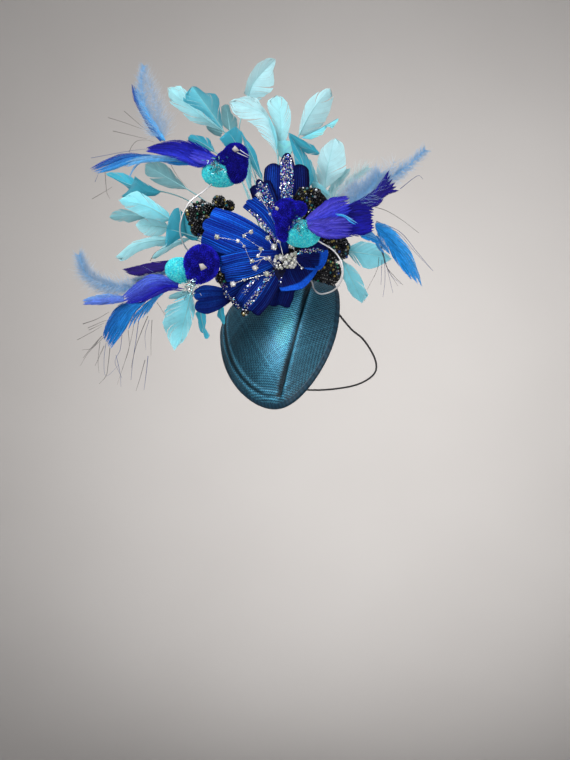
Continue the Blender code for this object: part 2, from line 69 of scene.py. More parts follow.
# Elastic
# Round hat elastic, a braided black cover on rubber. Both ends are sewn under the edge of the cap,
# and the loop between them hangs back and down behind it.
CAP_HALF_WIDTH = 67
CAP_FRONT_LENGTH = 108
CAP_BACK_LENGTH = 52
CAP_MIDDLE = (-2, 28)
CAP_TIP_NARROWING = 0.2
CAP_WALL = 1.8
ELASTIC_DIAMETER = 2.0
ELASTIC_ENDS = (100, 264)
ELASTIC_GAP = 0.3
ELASTIC_SPAN_STEPS = 3
BRAID_DARK = (0.004, 0.004, 0.005)
BRAID_PALE = (0.022, 0.022, 0.026)


def unit(ways):
    """The same ways, each 1 long."""
    return ways / np.linalg.norm(ways, axis=-1, keepdims=True)


CAP_ALONG = unit(np.array((-0.03, 0.55, 0.832)))
CAP_OUT = unit(np.array((-0.447, -0.747, 0.480)))
CAP_ACROSS = np.cross(CAP_ALONG, CAP_OUT)


def front(x, z, y):
    """The place that appears at (x, z) in the front drawing and lies at depth y."""
    share = (VIEW_DISTANCE + y) / VIEW_DISTANCE
    return np.array((VIEW_X + (x - VIEW_X) * share, y, VIEW_Z + (z - VIEW_Z) * share))


def cap_place(u, v, w):
    """The place that lies across, along and out from the middle of the cap's own plane."""
    u, v, w = (np.asarray(value, float)[..., None] for value in (u, v, w))
    return CAP_ACROSS * u + CAP_ALONG * v + CAP_OUT * w


def cap_rim(turn, grow=0.0):
    """The rim's outline in the cap's own plane: an egg with its narrow end at the front."""
    cosine = np.cos(turn)
    narrowing = 1 - CAP_TIP_NARROWING * np.maximum(0, -cosine) ** 3
    length = np.where(cosine > 0, CAP_BACK_LENGTH, CAP_FRONT_LENGTH)
    u = (CAP_HALF_WIDTH + grow) * np.sin(turn) * narrowing
    return CAP_MIDDLE[0] + u, CAP_MIDDLE[1] + (length + grow) * cosine


def smooth_route(points, per_span):
    """A smooth curve through the points."""
    points = [np.asarray(point, float) for point in points]
    ends = [2 * points[0] - points[1], *points, 2 * points[-1] - points[-2]]
    route = []
    for a, b, c, d in zip(ends, ends[1:], ends[2:], ends[3:]):
        for step in range(per_span):
            t = step / per_span
            route.append(
                0.5 * (2 * b + (c - a) * t + (2 * a - 5 * b + 4 * c - d) * t**2
                       + (3 * b - a - 3 * c + d) * t**3)
            )
    route.append(points[-1])
    return np.array(route)


def new_material(name, roughness, **settings):
    """A finish whose even values sit on the shader's own sockets."""
    made = bpy.data.materials.new(name)
    made.use_nodes = True
    shader = made.node_tree.nodes["Principled BSDF"]
    shader.inputs["Roughness"].default_value = roughness
    for words, value in settings.items():
        socket = words.replace("_", " ").title().replace("Ior", "IOR")
        shader.inputs[socket].default_value = (*value, 1) if isinstance(value, tuple) else value
    return made


def add_node(finish, kind, settings=(), **inputs):
    """One node, with its settings, and with each input set to a value or joined to an output."""
    made = finish.node_tree.nodes.new("ShaderNode" + kind)
    for name, value in dict(settings).items():
        setattr(made, name, value)
    for name, value in inputs.items():
        socket = made.inputs[int(name[1:])] if name[1:].isdigit() else made.inputs[name.replace("_", " ")]
        if isinstance(value, bpy.types.NodeSocket):
            finish.node_tree.links.new(value, socket)
        else:
            socket.default_value = value
    return made


def colour_by(finish, output):
    """The finish takes its colour from a node."""
    shader = finish.node_tree.nodes["Principled BSDF"]
    finish.node_tree.links.new(output, shader.inputs["Base Color"])


def bump_by(finish, height, strength, distance):
    """The finish takes a fine relief from a node."""
    bump = add_node(finish, "Bump", Height=height, Strength=strength, Distance=distance)
    shader = finish.node_tree.nodes["Principled BSDF"]
    finish.node_tree.links.new(bump.outputs["Normal"], shader.inputs["Normal"])


def ramp(finish, factor, *stops):
    """A colour for each stop of a number from 0 to 1."""
    made = add_node(finish, "ValToRGB", Fac=factor)
    stripe = made.color_ramp
    while len(stripe.elements) < len(stops):
        stripe.elements.new(0.5)
    for element, (place, colour) in zip(stripe.elements, stops):
        element.position = place
        element.color = (*colour, 1)
    return made.outputs["Color"]


def noise(finish, scale, detail=2.0, stretch=(1, 1, 1)):
    """Cloudy variation over the piece, with its scale in marks per metre."""
    places = add_node(finish, "TexCoord")
    mapping = add_node(finish, "Mapping", Vector=places.outputs["Object"], Scale=stretch)
    made = add_node(finish, "TexNoise", Vector=mapping.outputs["Vector"], Scale=scale, Detail=detail)
    return made.outputs["Fac"]


def own(piece, slot, *nodes):
    """The piece belongs to the one body and stands for its nodes, which are hidden. The slot is not used."""
    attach(piece, "root")
    if nodes:
        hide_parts(*nodes)
    return piece


elastic_right, elastic_left = (
    cap_place(*cap_rim(math.radians(turn), -CAP_WALL / 2), -ELASTIC_GAP) for turn in ELASTIC_ENDS)
elastic_route = smooth_route([
    elastic_right,
    elastic_right - CAP_OUT * 5,
    front(70, 10, -12),
    front(80, 2, -2),
    front(88, -9, 9),
    (95, 21, -20),
    (97, 40, -30),
    (92, 60, -38),
    (80, 82, -45),
    (62, 99, -49),
    (40, 109, -51),
    (18, 111, -50),
    (-4, 106, -46),
    (-24, 94, -39),
    (-40, 77, -29),
    (-51, 58, -18),
    elastic_left - CAP_OUT * 6,
    elastic_left,
], ELASTIC_SPAN_STEPS) * MM
elastic_curve = bpy.data.curves.new("hat_elastic", "CURVE")
elastic_curve.dimensions = "3D"
elastic_curve.bevel_depth = ELASTIC_DIAMETER / 2 * MM
elastic_curve.bevel_resolution = 3
elastic_curve.use_fill_caps = True
elastic_spline = elastic_curve.splines.new("POLY")
elastic_spline.points.add(len(elastic_route) - 1)
for point, place in zip(elastic_spline.points, elastic_route):
    point.co = (*place, 1)

braid = new_material("black_braid", 0.62, sheen_weight=0.25, sheen_roughness=0.5)
braid_marks = noise(braid, 1500, 1.0)
colour_by(braid, ramp(braid, braid_marks, (0.35, BRAID_DARK), (0.7, BRAID_PALE)))
bump_by(braid, braid_marks, 0.8, 0.0003)
elastic_curve.materials.append(braid)
hat_elastic = bpy.data.objects.new("hat_elastic", elastic_curve)
scene.collection.objects.link(hat_elastic)
own(hat_elastic, "elastic", "elastic")

# Studio
# A seamless pale bowl stands far round the piece, with its floor well below it. Soft light falls
# from above at the left, with weaker light from the right and the front and on the wall behind.
STUDIO_RADIUS = 2.9
STUDIO_FLOOR = -1.0
STUDIO_TOP = 2.6
STUDIO_FILLET = 1.1
FILLET_STEPS = 14
STUDIO_SIDES = 128
WALL_DARK = (0.335, 0.318, 0.306)
WALL_PALE = (0.355, 0.338, 0.326)
ROOM_COLOUR = (0.95, 0.97, 1.0, 1)
ROOM_STRENGTH = 0.86

bpy.ops.object.select_all(action="DESELECT")
bpy.ops.mesh.primitive_circle_add(vertices=STUDIO_SIDES, radius=STUDIO_RADIUS, fill_type="NOTHING",
                                  location=(0, 0, 0))
studio = bpy.context.object
studio.name = "studio"
bpy.ops.object.mode_set(mode="EDIT")
bpy.ops.mesh.select_all(action="SELECT")
bpy.ops.transform.translate(value=(0, 0, STUDIO_TOP))
bowl_radius, bowl_height = STUDIO_RADIUS, STUDIO_FLOOR + STUDIO_FILLET
bpy.ops.mesh.extrude_edges_move(TRANSFORM_OT_translate={"value": (0, 0, bowl_height - STUDIO_TOP)})
for step in range(1, FILLET_STEPS + 1):
    turn = math.pi / 2 * step / FILLET_STEPS
    radius = STUDIO_RADIUS - STUDIO_FILLET * (1 - math.cos(turn))
    height = STUDIO_FLOOR + STUDIO_FILLET * (1 - math.sin(turn))
    bpy.ops.mesh.extrude_edges_move(TRANSFORM_OT_translate={"value": (0, 0, height - bowl_height)})
    bpy.ops.transform.resize(value=(radius / bowl_radius, radius / bowl_radius, 1), center_override=(0, 0, 0))
    bowl_radius, bowl_height = radius, height
bpy.ops.mesh.edge_face_add()
bpy.ops.mesh.select_all(action="SELECT")
bpy.ops.mesh.normals_make_consistent(inside=True)
bpy.ops.object.mode_set(mode="OBJECT")
bpy.ops.object.shade_smooth()
paper = new_material("studio_paper", 0.95)
colour_by(paper, ramp(paper, noise(paper, 1.5), (0.3, WALL_DARK), (0.7, WALL_PALE)))
studio.data.materials.append(paper)


def soft_light(name, place, target, size, power, spread=180):
    """A round lamp that shines from its place towards a target and isn't seen itself."""
    light = bpy.data.lights.new(name, "AREA")
    light.shape = "DISK"
    light.size = size
    light.energy = power
    light.spread = math.radians(spread)
    made = bpy.data.objects.new(name, light)
    made.location = place
    way = np.array(target) - np.array(place)
    turn = math.atan2(way[0], -way[1])
    tilt = math.acos(-way[2] / np.linalg.norm(way))
    made.rotation_euler = (tilt, 0, turn + math.pi)
    made.visible_camera = False
    scene.collection.objects.link(made)


soft_light("key_light", (-0.85, -0.95, 1.25), (-0.02, 0, 0.08), 0.7, 21)
soft_light("fill_light", (1.5, -1.6, 0.3), (0, 0, 0.1), 1.4, 13)
soft_light("wall_light", (0.22, 1.3, 0.08), (0.22, 2.9, 0.08), 1.4, 21, 120)
soft_light("front_light", (-0.1, -1.7, -0.3), (0, 0, 0.05), 1.4, 11)
world = bpy.data.worlds.new("room")
world.use_nodes = True
world.node_tree.nodes["Background"].inputs["Color"].default_value = ROOM_COLOUR
world.node_tree.nodes["Background"].inputs["Strength"].default_value = ROOM_STRENGTH
scene.world = world

# Cap
# A teardrop percher of two layers of sinamay, blocked on the bias. A deep crease with a fold beside
# it runs up from the tip. Two pleats run along the left side and meet the crease at the front, and a
# bias strip binds the rim.
CAP_HEIGHT = 36
CAP_ROUNDNESS = 2.2
CAP_RIM_BAND = 3
CREASE_START = np.array((-0.5, -70))
CREASE_END = np.array((42, 41))
CREASE_DEPTH = 3.6
CREASE_SPREAD = 2.5
CREASE_BOW = 4.5
CREASE_FADE_IN = 12
CREASE_FADE_OUT = 20
# place, sweep towards the rim, height, spread
PLEATS = ((0.875, 0.06, 1.3, 0.022), (0.745, 0.14, 1.1, 0.022))
PLEAT_GAP = (0.81, 0.10)
PLEAT_LIGHT_SPREAD = 0.016
CAP_COLUMNS = 180
CAP_OUTER_ROWS = 54
CAP_INNER_ROWS = 30
CAP_TOP_SHARE = 0.02
WEAVE_BED = 0.35
WEAVE_MIDDLE = (CAP_MIDDLE[0], -10)
THREAD_ROWS = 75
THREAD_STEPS = 150
THREAD_WAVE = 0.9
THREAD_WAVE_LENGTH = 31
THREAD_PITCH = 1.6
THREAD_WIDTH = 1.05
THREAD_RISE = 0.2
THREAD_END_SHARE = 0.982
STRAW_LIGHT = np.array((0.090, 0.37, 0.56))
STRAW_DARK = np.array((0.008, 0.034, 0.070))
RIM_RIBS = 90
# share, rise over the straw
RIM_PROFILE = ((0.968, 0.1), (0.974, 0.5), (0.99, 0.6))
# growth past the rim, height over its plane
RIM_EDGE = ((0.5, 2.8), (0.7, 1.2), (0.2, 0.1), (-1.0, -0.1), (-2.1, 0.3), (-2.4, 2.5), (-3.2, 5.0))

rim_turns = np.linspace(-math.pi, math.pi, 721)
rim_u, rim_v = cap_rim(rim_turns)
rim_angles = np.unwrap(np.arctan2(rim_u - CAP_MIDDLE[0], rim_v - CAP_MIDDLE[1]))
rim_reach = np.hypot(rim_u - CAP_MIDDLE[0], rim_v - CAP_MIDDLE[1])


def bump(distance, spread):
    """A round swelling, 1 in its middle."""
    return np.exp(-((distance / spread) ** 2))


def cap_share(u, v):
    """How far out a place of the cap's plane lies, from 0 in the middle to 1 at the rim, and its turn."""
    u, v = np.asarray(u, float), np.asarray(v, float)
    angle = np.arctan2(u - CAP_MIDDLE[0], v - CAP_MIDDLE[1])
    share = np.hypot(u - CAP_MIDDLE[0], v - CAP_MIDDLE[1]) / np.interp(angle, rim_angles, rim_reach)
    return share, np.interp(angle, rim_angles, rim_turns)


def crease_place(u, v):
    """How far a place lies to the right of the crease, and how much of the crease is left there."""
    run = CREASE_END - CREASE_START
    length = np.hypot(*run)
    along = ((u - CREASE_START[0]) * run[0] + (v - CREASE_START[1]) * run[1]) / length
    off = ((u - CREASE_START[0]) * run[1] - (v - CREASE_START[1]) * run[0]) / length
    share = np.clip(along / length, 0, 1)
    off = off - CREASE_BOW * 4 * share * (1 - share)
    begun = np.clip((along + CREASE_FADE_IN / 2) / CREASE_FADE_IN, 0, 1)
    return off, begun * np.clip((length + CREASE_FADE_OUT / 2 - along) / CREASE_FADE_OUT, 0, 1)


def from_pleat(share, turn, place, sweep):
    """How far out of a pleat a place lies. The pleats near the rim on their way to the front."""
    return share - place - sweep * np.clip(-np.cos(turn), 0, 1) ** 2


def pleated(turn):
    """The pleats lie along the left and the front of the rim."""
    return np.clip(0.8 - 1.6 * np.sin(turn), 0, 1) * np.clip(0.9 - np.cos(turn), 0, 1)


def cap_height(u, v):
    """The height of the outer surface over the rim's plane, with the crease and the pleats."""
    share, turn = cap_share(u, v)
    off, inside = crease_place(u, v)
    crease = bump(off, CREASE_SPREAD) - 0.45 * bump(off - 2 * CREASE_SPREAD, 0.8 * CREASE_SPREAD)
    pleats = sum(height * bump(from_pleat(share, turn, place, sweep), spread)
                 for place, sweep, height, spread in PLEATS)
    dome = CAP_RIM_BAND + (CAP_HEIGHT - CAP_RIM_BAND) * (1 - np.minimum(1, share) ** CAP_ROUNDNESS)
    return dome + pleated(turn) * pleats - CREASE_DEPTH * inside * crease


def painted_straw_light(u, v):
    """Painted light and shade on the straw: a painted highlight over the crown left of the crease, on the
    ridge beside the crease and on the pleats, and painted shade in the crease and between the pleats.
    """
    share, turn = cap_share(u, v)
    off, inside = crease_place(u, v)
    painted_crown_highlight = bump(off + 8, 14) * bump(v + 10, 36) * np.where(off < 0, 1, 0.25)
    painted_crease_light_and_shade = 1.4 * bump(off - 2.1 * CREASE_SPREAD, 1.5) - 3.0 * np.exp(-(((off - 0.4) / 2.3) ** 4))
    pleats = sum(bump(from_pleat(share, turn, place, sweep), PLEAT_LIGHT_SPREAD)
                 for place, sweep, _, _ in PLEATS)
    pleats = pleats - 0.4 * bump(from_pleat(share, turn, *PLEAT_GAP), 0.03)
    light = 0.42 + 2.1 * painted_crown_highlight + 0.45 * inside * painted_crease_light_and_shade + 0.9 * pleated(turn) * pleats
    return np.clip(light, 0.10, 2.8)[..., None]


def places_of(mesh):
    """The mesh's points as an array."""
    places = np.empty(len(mesh.vertices) * 3)
    mesh.vertices.foreach_get("co", places)
    return places.reshape(-1, 3)


def paint(mesh, tints):
    """Gives each point of the mesh its own tint."""
    colours = np.ones((len(mesh.vertices), 4))
    colours[:, :3] = np.clip(tints, 0, 1)
    mesh.color_attributes.new("tint", "FLOAT_COLOR", "POINT").data.foreach_set("color", colours.ravel())


class Bundle:
    """The strands, wires and chips of one piece, gathered in millimetres with a tint at each point."""

    def __init__(self):
        self.points = []
        self.tints = []
        self.faces = []
        self.finishes = []
        self.total = 0

    def add(self, points, faces, tint, finish=0):
        """More points and the faces between them, with one tint or a tint for each point."""
        points = np.asarray(points, float)
        self.tints.append(np.broadcast_to(tint, points.shape).reshape(-1, 3))
        self.points.append(points.reshape(-1, 3))
        self.faces += [[corner + self.total for corner in face] for face in faces]
        self.finishes += [finish] * len(faces)
        self.total += points.size // 3

    def strips(self, edge, other, tint, finish=0, keep=None):
        """Flat strips between two edges, each an array of strips by places along them."""
        count, places = edge.shape[:2]
        index = np.arange(count * places * 2).reshape(count, places, 2)
        faces = np.stack([index[:, :-1, 0], index[:, 1:, 0], index[:, 1:, 1], index[:, :-1, 1]], -1)
        faces = faces[keep[:, :-1] & keep[:, 1:]] if keep is not None else faces.reshape(-1, 4)
        tint = np.asarray(tint)
        tint = tint[:, :, None] if tint.ndim == 3 else tint
        self.add(np.stack([edge, other], axis=2), faces.tolist(), tint, finish)

    def tube(self, line, radius, tint, sides=5, finish=0):
        """A round strand along a line, with its own radius at each place, closed at both ends."""
        line = np.asarray(line, float)
        radius = np.broadcast_to(radius, len(line))
        along = unit(np.gradient(line, axis=0))
        side = np.cross(along[0], (0.31, 0.87, 0.38))
        turns = np.linspace(0, 2 * math.pi, sides, endpoint=False)[:, None]
        rings = []
        for place, way, size in zip(line, along, radius):
            side = unit(side - way * side.dot(way))
            rings.append(place + (side * np.cos(turns) + np.cross(way, side) * np.sin(turns)) * size)
        last = (len(line) - 1) * sides
        faces = [list(range(sides))[::-1], [last + i for i in range(sides)]]
        for row in range(len(line) - 1):
            for i in range(sides):
                j = (i + 1) % sides
                here, ahead = row * sides, (row + 1) * sides
                faces.append([here + i, here + j, ahead + j, ahead + i])
        tint = np.asarray(tint)
        self.add(np.array(rings), faces, tint[:, None] if tint.ndim == 2 else tint, finish)

    def piece(self, name, finishes, slot, *nodes, smooth=True):
        """The finished piece, without the points that no face uses."""
        mesh = bpy.data.meshes.new(name)
        points = np.concatenate(self.points)
        mesh.from_pydata((points * MM).tolist(), [], self.faces)
        paint(mesh, np.concatenate(self.tints))
        for finish in finishes:
            mesh.materials.append(finish)
        mesh.polygons.foreach_set("material_index", self.finishes)
        if smooth:
            mesh.shade_smooth()
        made = bpy.data.objects.new(name, mesh)
        scene.collection.objects.link(made)
        used = np.zeros(len(points), bool)
        used[np.concatenate([np.array(face) for face in self.faces])] = True
        if not used.all():
            bpy.ops.object.select_all(action="DESELECT")
            bpy.context.view_layer.objects.active = made
            made.select_set(True)
            bpy.ops.object.mode_set(mode="EDIT")
            bpy.ops.mesh.select_all(action="SELECT")
            bpy.ops.mesh.delete_loose(use_verts=True, use_edges=True, use_faces=False)
            bpy.ops.object.mode_set(mode="OBJECT")
        return own(made, slot, *nodes)


def tinted(finish, scale, darkest, stretch=(1, 1, 1)):
    """The points' own tints, with small cloudy variation over them."""
    tint = add_node(finish, "Attribute", {"attribute_name": "tint"})
    cloud = ramp(finish, noise(finish, scale, 3.0, stretch), (0.3, (darkest,) * 3), (0.7, (1, 1, 1)))
    mixed = add_node(finish, "Mix", {"data_type": "RGBA", "blend_type": "MULTIPLY"},
                     _0=1.0, _6=tint.outputs["Color"], _7=cloud)
    colour_by(finish, mixed.outputs[2])
    return finish


def skin(bundle, rings, tint, finish=0):
    """A skin over closed rings of equally many points."""
    rings = np.asarray(rings)
    rows, count = rings.shape[:2]
    faces = []
    for row in range(rows - 1):
        for i in range(count):
            j = (i + 1) % count
            faces.append([row * count + i, (row + 1) * count + i, (row + 1) * count + j, row * count + j])
    bundle.add(rings, faces, tint, finish)


straw = tinted(new_material("sinamay_straw", 0.34, specular_ior_level=0.25), 260, 0.72)
bump_by(straw, noise(straw, 2600, 2.0), 0.35, 0.0002)

cap_work = Bundle()
cap_random = np.random.default_rng(11)
dome_turns = np.linspace(-math.pi, math.pi, CAP_COLUMNS, endpoint=False)
rim_u, rim_v = cap_rim(dome_turns)
dome_rings = []
for sunk, shares in ((WEAVE_BED, np.linspace(CAP_TOP_SHARE, 1, CAP_OUTER_ROWS)),
                     (CAP_WALL - 0.1, np.linspace(1, CAP_TOP_SHARE, CAP_INNER_ROWS))):
    for share in shares:
        u = CAP_MIDDLE[0] + (rim_u - CAP_MIDDLE[0]) * share
        v = CAP_MIDDLE[1] + (rim_v - CAP_MIDDLE[1]) * share
        dome_rings.append(cap_place(u, v, cap_height(u, v) - sunk))
# The bed under the threads, the lower layer of straw, is darker than any thread: painted shade in the gaps of
# the weave.
skin(cap_work, dome_rings, STRAW_DARK * 0.45)
for ring, backwards in ((dome_rings[0], False), (dome_rings[-1], True)):
    corners = list(range(len(dome_turns)))
    cap_work.add(ring, [corners if backwards else corners[::-1]], STRAW_DARK * 0.45)

crease_turn = math.atan2(*(CREASE_END - CREASE_START))
for layer, bias in ((0, math.pi / 4), (1, -math.pi / 4)):
    way = np.array((math.sin(crease_turn + bias), math.cos(crease_turn + bias)))
    off = np.array((way[1], -way[0]))
    rows = np.arange(-THREAD_ROWS, THREAD_ROWS + 1)
    steps = np.arange(-THREAD_STEPS, THREAD_STEPS + 1)
    drift = cap_random.normal(0, 0.07, len(rows))[:, None]
    wave = THREAD_WAVE * np.sin(steps * THREAD_PITCH / 2 / THREAD_WAVE_LENGTH + layer)[None, :]
    along = (steps * THREAD_PITCH / 2)[None, :] + np.zeros((len(rows), 1))
    across = rows[:, None] * THREAD_PITCH + drift + wave
    wide = THREAD_WIDTH * (1 + cap_random.normal(0, 0.12, len(rows)))[:, None]
    rise = THREAD_RISE * np.cos(math.pi * (steps[None, :] / 2 + rows[:, None] + layer))
    edges = []
    for half in (-0.5, 0.5):
        u = WEAVE_MIDDLE[0] + along * way[0] + (across + wide * half) * off[0]
        v = WEAVE_MIDDLE[1] + along * way[1] + (across + wide * half) * off[1]
        edges.append(cap_place(u, v, cap_height(u, v) + rise))
        inside = cap_share(u, v)[0] < THREAD_END_SHARE
        keep = inside if half < 0 else keep & inside
    # Each thread has a random tone of its own and a painted highlight where it rises over the crossing
    # threads; the straw's painted light and shade lies over both.
    light = np.clip(cap_random.normal(0.5, 0.22, len(rows)), 0, 1)[:, None]
    light = np.clip(light * 0.6 + 0.55 * rise / THREAD_RISE + 0.2, 0, 1.3)[..., None]
    tint = (STRAW_DARK * (1 - light) + STRAW_LIGHT * light) * painted_straw_light(u, v)
    cap_work.strips(edges[0], edges[1], tint, 0, keep)

rim_rings = []
for share, rise in RIM_PROFILE:
    u = CAP_MIDDLE[0] + (rim_u - CAP_MIDDLE[0]) * share
    v = CAP_MIDDLE[1] + (rim_v - CAP_MIDDLE[1]) * share
    rim_rings.append(cap_place(u, v, cap_height(u, v) + rise))
for grow, w in RIM_EDGE:
    rim_rings.append(cap_place(*cap_rim(dome_turns, grow), np.full(len(dome_turns), w)))
ribbing = 0.75 + 0.25 * np.cos(dome_turns * RIM_RIBS)[None, :, None] * np.ones((len(rim_rings), 1, 1))
skin(cap_work, rim_rings, (STRAW_DARK * 0.7 + STRAW_LIGHT * 0.10) * ribbing)
cap_work.piece("percher_cap", [straw], "sinamay", "cap")

# Stem binding
# All the stems and wires end in one pad behind the flower. It is wound round and round with dark
# florist's tape and sewn through the straw.
PAD_MIDDLE = np.array((-3, -22, 61))
PAD_TOWARDS_FLOWER = unit(np.array((2, -30, 5)))
PAD_HALF_LENGTH = 32
PAD_RADIUS = 21
TAPE_TURNS = 16
TAPE_RIDGE = 0.7
PAD_OVER_STRAW = 0.5
TAPE_DARK = (0.003, 0.004, 0.015)
TAPE_PALE = (0.008, 0.010, 0.05)

bpy.ops.object.select_all(action="DESELECT")
bpy.ops.mesh.primitive_uv_sphere_add(segments=64, ring_count=96, radius=1, location=(0, 0, 0))
binding = bpy.context.object
binding.name = "wound_binding"
binding.data.name = "wound_binding"
places = places_of(binding.data)
pad_side = unit(np.cross(PAD_TOWARDS_FLOWER, (0.0, 0.0, 1.0)))
pad_up = np.cross(pad_side, PAD_TOWARDS_FLOWER)
winding = np.arctan2(places[:, 1], places[:, 0]) / (2 * math.pi) + places[:, 2] * TAPE_TURNS
ridge = TAPE_RIDGE * (winding % 1.0 - 0.6) * np.hypot(places[:, 0], places[:, 1])
grown = places * (np.array((PAD_RADIUS, PAD_RADIUS, PAD_HALF_LENGTH)) + ridge[:, None])
wound = PAD_MIDDLE + grown[:, :1] * pad_side + grown[:, 1:2] * pad_up + grown[:, 2:] * PAD_TOWARDS_FLOWER
u, v, w = wound @ CAP_ACROSS, wound @ CAP_ALONG, wound @ CAP_OUT
wound = cap_place(u, v, np.maximum(w, cap_height(u, v) + PAD_OVER_STRAW))
binding.data.vertices.foreach_set("co", (wound * MM).ravel())
binding.data.update()
bpy.ops.object.shade_smooth()
tape = new_material("florists_tape", 0.85, specular_ior_level=0.15)
colour_by(tape, ramp(tape, noise(tape, 400, 3.0), (0.3, TAPE_DARK), (0.7, TAPE_PALE)))
bump_by(tape, noise(tape, 1800, 3.0), 0.6, 0.0004)
binding.data.materials.append(tape)
own(binding, "binding", "stem_binding")

# Aqua feathers
# Dyed goose feathers with smooth vanes, most of them trimmed to a corner or a blunt end, each on its
# own stripped quill. Some are turned over and show their deeper back. All are bound into the pad.
STEM_ROOT = np.array((-3, -20, 62))
STEM_ROOT_SPREAD = 14
STEM_ROOT_SHARE = 0.38
STEM_RADIUS = 0.62
TO_VIEWER = np.array((0.0, -1.0, 0.0))
AQUA_LIGHT = ((0.34, 0.77, 0.84), (0.46, 0.84, 0.90))
AQUA_PALE = ((0.42, 0.76, 0.83), (0.52, 0.82, 0.87))
AQUA_CLEAR = ((0.20, 0.72, 0.84), (0.36, 0.84, 0.93))
AQUA_MIDDLE = ((0.04, 0.44, 0.60), (0.06, 0.46, 0.62))
AQUA_SOFT = ((0.15, 0.54, 0.64), (0.26, 0.66, 0.75))
AQUA_TEAL = ((0.16, 0.60, 0.71), (0.05, 0.36, 0.49))
AQUA_DEEP = ((0.035, 0.36, 0.48), (0.022, 0.28, 0.39))
AQUA_GREY = ((0.15, 0.36, 0.40), (0.13, 0.29, 0.32))
STEM_TINT = (0.32, 0.66, 0.70)


def hang(line, roll=0.0):
    """A quill's line with, at each place, the way across the vane and the way that it faces."""
    along = unit(np.gradient(line, axis=0))
    side = unit(np.cross(along, TO_VIEWER))
    facing = np.cross(side, along)
    turn = math.radians(roll)
    across = side * math.cos(turn) - facing * math.sin(turn)
    return line, across, np.cross(across, along)


def half_widths(line, outline):
    """How wide the vane is at each side of its quill, from its outline as drawn from the front."""
    outline = np.array(outline, float)
    away = outline[:, None] - line[None]
    nearest = np.argmin((away**2).sum(-1), axis=1)
    along = np.gradient(line, axis=0)
    along = along / np.linalg.norm(along, axis=1, keepdims=True)
    offset = away[np.arange(len(outline)), nearest]
    signed = offset[:, 0] * along[nearest, 1] - offset[:, 1] * along[nearest, 0]
    marks = np.linspace(0, 1, len(line))
    widths = []
    for side in (-1, 1):
        mine = np.nonzero(signed * side > 0.2)[0]
        mine = mine[np.argsort(nearest[mine])]
        shares = [0, *marks[nearest[mine]], 1]
        values = [0.3, *np.abs(signed[mine]), 0]
        widths.append(np.interp(marks, shares, values))
    return widths


def vane(bundle, hung, widths, tone, random, spacing=0.5, reach=0.3, cup=0.12, splits=0.004, ragged=0.015,
         clump=7, mottle=0.035, places=6, halves=(1.0, 1.0)):
    """Barbs side by side along a quill, in clumps that part a little towards the vane's edge."""
    line, across, facing = hung
    marks = np.linspace(0, 1, len(line))
    length = np.linalg.norm(np.diff(line, axis=0), axis=1).sum()
    root_tint, tip_tint = (np.array(colour) for colour in tone)

    def at(values, share):
        return np.stack([np.interp(share, marks, values[:, i]) for i in range(3)], -1)

    for side, half_width, light in ((-1, widths[0], halves[0]), (1, widths[1], halves[1])):
        if half_width.max() < 0.4:
            continue

        def place(share, out, lift):
            half = np.interp(share, marks, half_width)
            depth = lift * np.clip(half / 5, 0, 1) - cup * half * out**2
            aside = at(across, share) * (out * half)[..., None]
            return at(line, share) + aside + at(facing, share) * depth[..., None]

        count = max(8, int(length * (1 + reach) / spacing))
        starts = np.linspace(-0.9 * reach, 0.96, count) + random.normal(0, 0.12 / count, count)
        group = np.cumsum(random.random(count) < 1 / clump)
        mood = random.normal(size=(group.max() + 1, 5))[group]
        far = reach * (1 + 0.06 * mood[:, 0])
        stop = np.minimum(1, (np.maximum(0, 1 - starts) / far) ** (1 / 1.15))
        stop = stop * (1 - ragged * np.abs(mood[:, 1]) - ragged * 0.5 * random.random(count))
        out = np.linspace(0, 1, places)[None, :] * stop[:, None]
        share = starts[:, None] + far[:, None] * out**1.15 + splits * mood[:, 2:3] * out**2
        lift = (0.2 * mood[:, 3:4] + 0.06 * random.normal(size=(count, 1))) * out
        step = 0.5 * (1 + 0.9 * reach) / count
        edge = place(np.clip(share - step, 0, 1), side * out, lift)
        other = place(np.clip(share + 1.9 * step, 0, 1), side * out, lift + 0.05)
        blend = np.clip(0.75 * out + 0.35 * starts[:, None], 0, 1)[..., None]
        tint = root_tint * (1 - blend) + tip_tint * blend
        # Each half's painted light makes it lighter or darker, a painted highlight or painted shade for that
        # half; the mottle is the barbs' own.
        shade = light * (1 + mottle * (mood[:, 4:5] + 0.7 * random.normal(size=(count, 1))))
        full = np.interp(share, marks, half_width) > 0.3
        bundle.strips(edge, other, tint * shade[..., None], 0, full)


def stem(bundle, root, base, way, radius, tint, tip_line=None):
    """A stripped quill from the pad to the vane's base, and its thinning shaft along the vane."""
    reach = np.linalg.norm(base - root)
    share = np.linspace(0, 1, 14)[:, None]
    a, b, c, d = root, root + (base - root) * 0.4, base - way * reach * 0.35, base
    left = 1 - share
    line = a * left**3 + b * (3 * left**2 * share) + c * (3 * left * share**2) + d * share**3
    sizes = np.full(len(line), radius)
    if tip_line is not None:
        line = np.concatenate([line, tip_line[1:]])
        sizes = np.concatenate([sizes, radius * np.linspace(1, 0.2, len(tip_line) - 1)])
    bundle.tube(line, sizes, tint, 5)


def front_line(stops, depths, per_span=10):
    """A smooth line through places given as they appear from the front, between two depths."""
    flat = smooth_route(stops, per_span)
    deep = np.linspace(depths[0], depths[1], len(flat))
    return flat, np.array([front(x, z, y) for (x, z), y in zip(flat, deep)])


def goose_vane(bundle, stops, depths, outline, tone, random, roll=0.0, **work):
    """One vane cut to an outline as drawn from the front; gives back its quill."""
    flat, line = front_line(stops, depths)
    widths = [width / math.cos(math.radians(roll)) for width in half_widths(flat, outline)]
    vane(bundle, hang(line, roll), widths, tone, random, **work)
    return line


aqua_feather = tinted(new_material("aqua_feather", 0.5, sheen_weight=0.12, sheen_roughness=0.4,
                                   sheen_tint=(0.7, 0.95, 1.0), specular_ior_level=0.3), 180, 0.9)
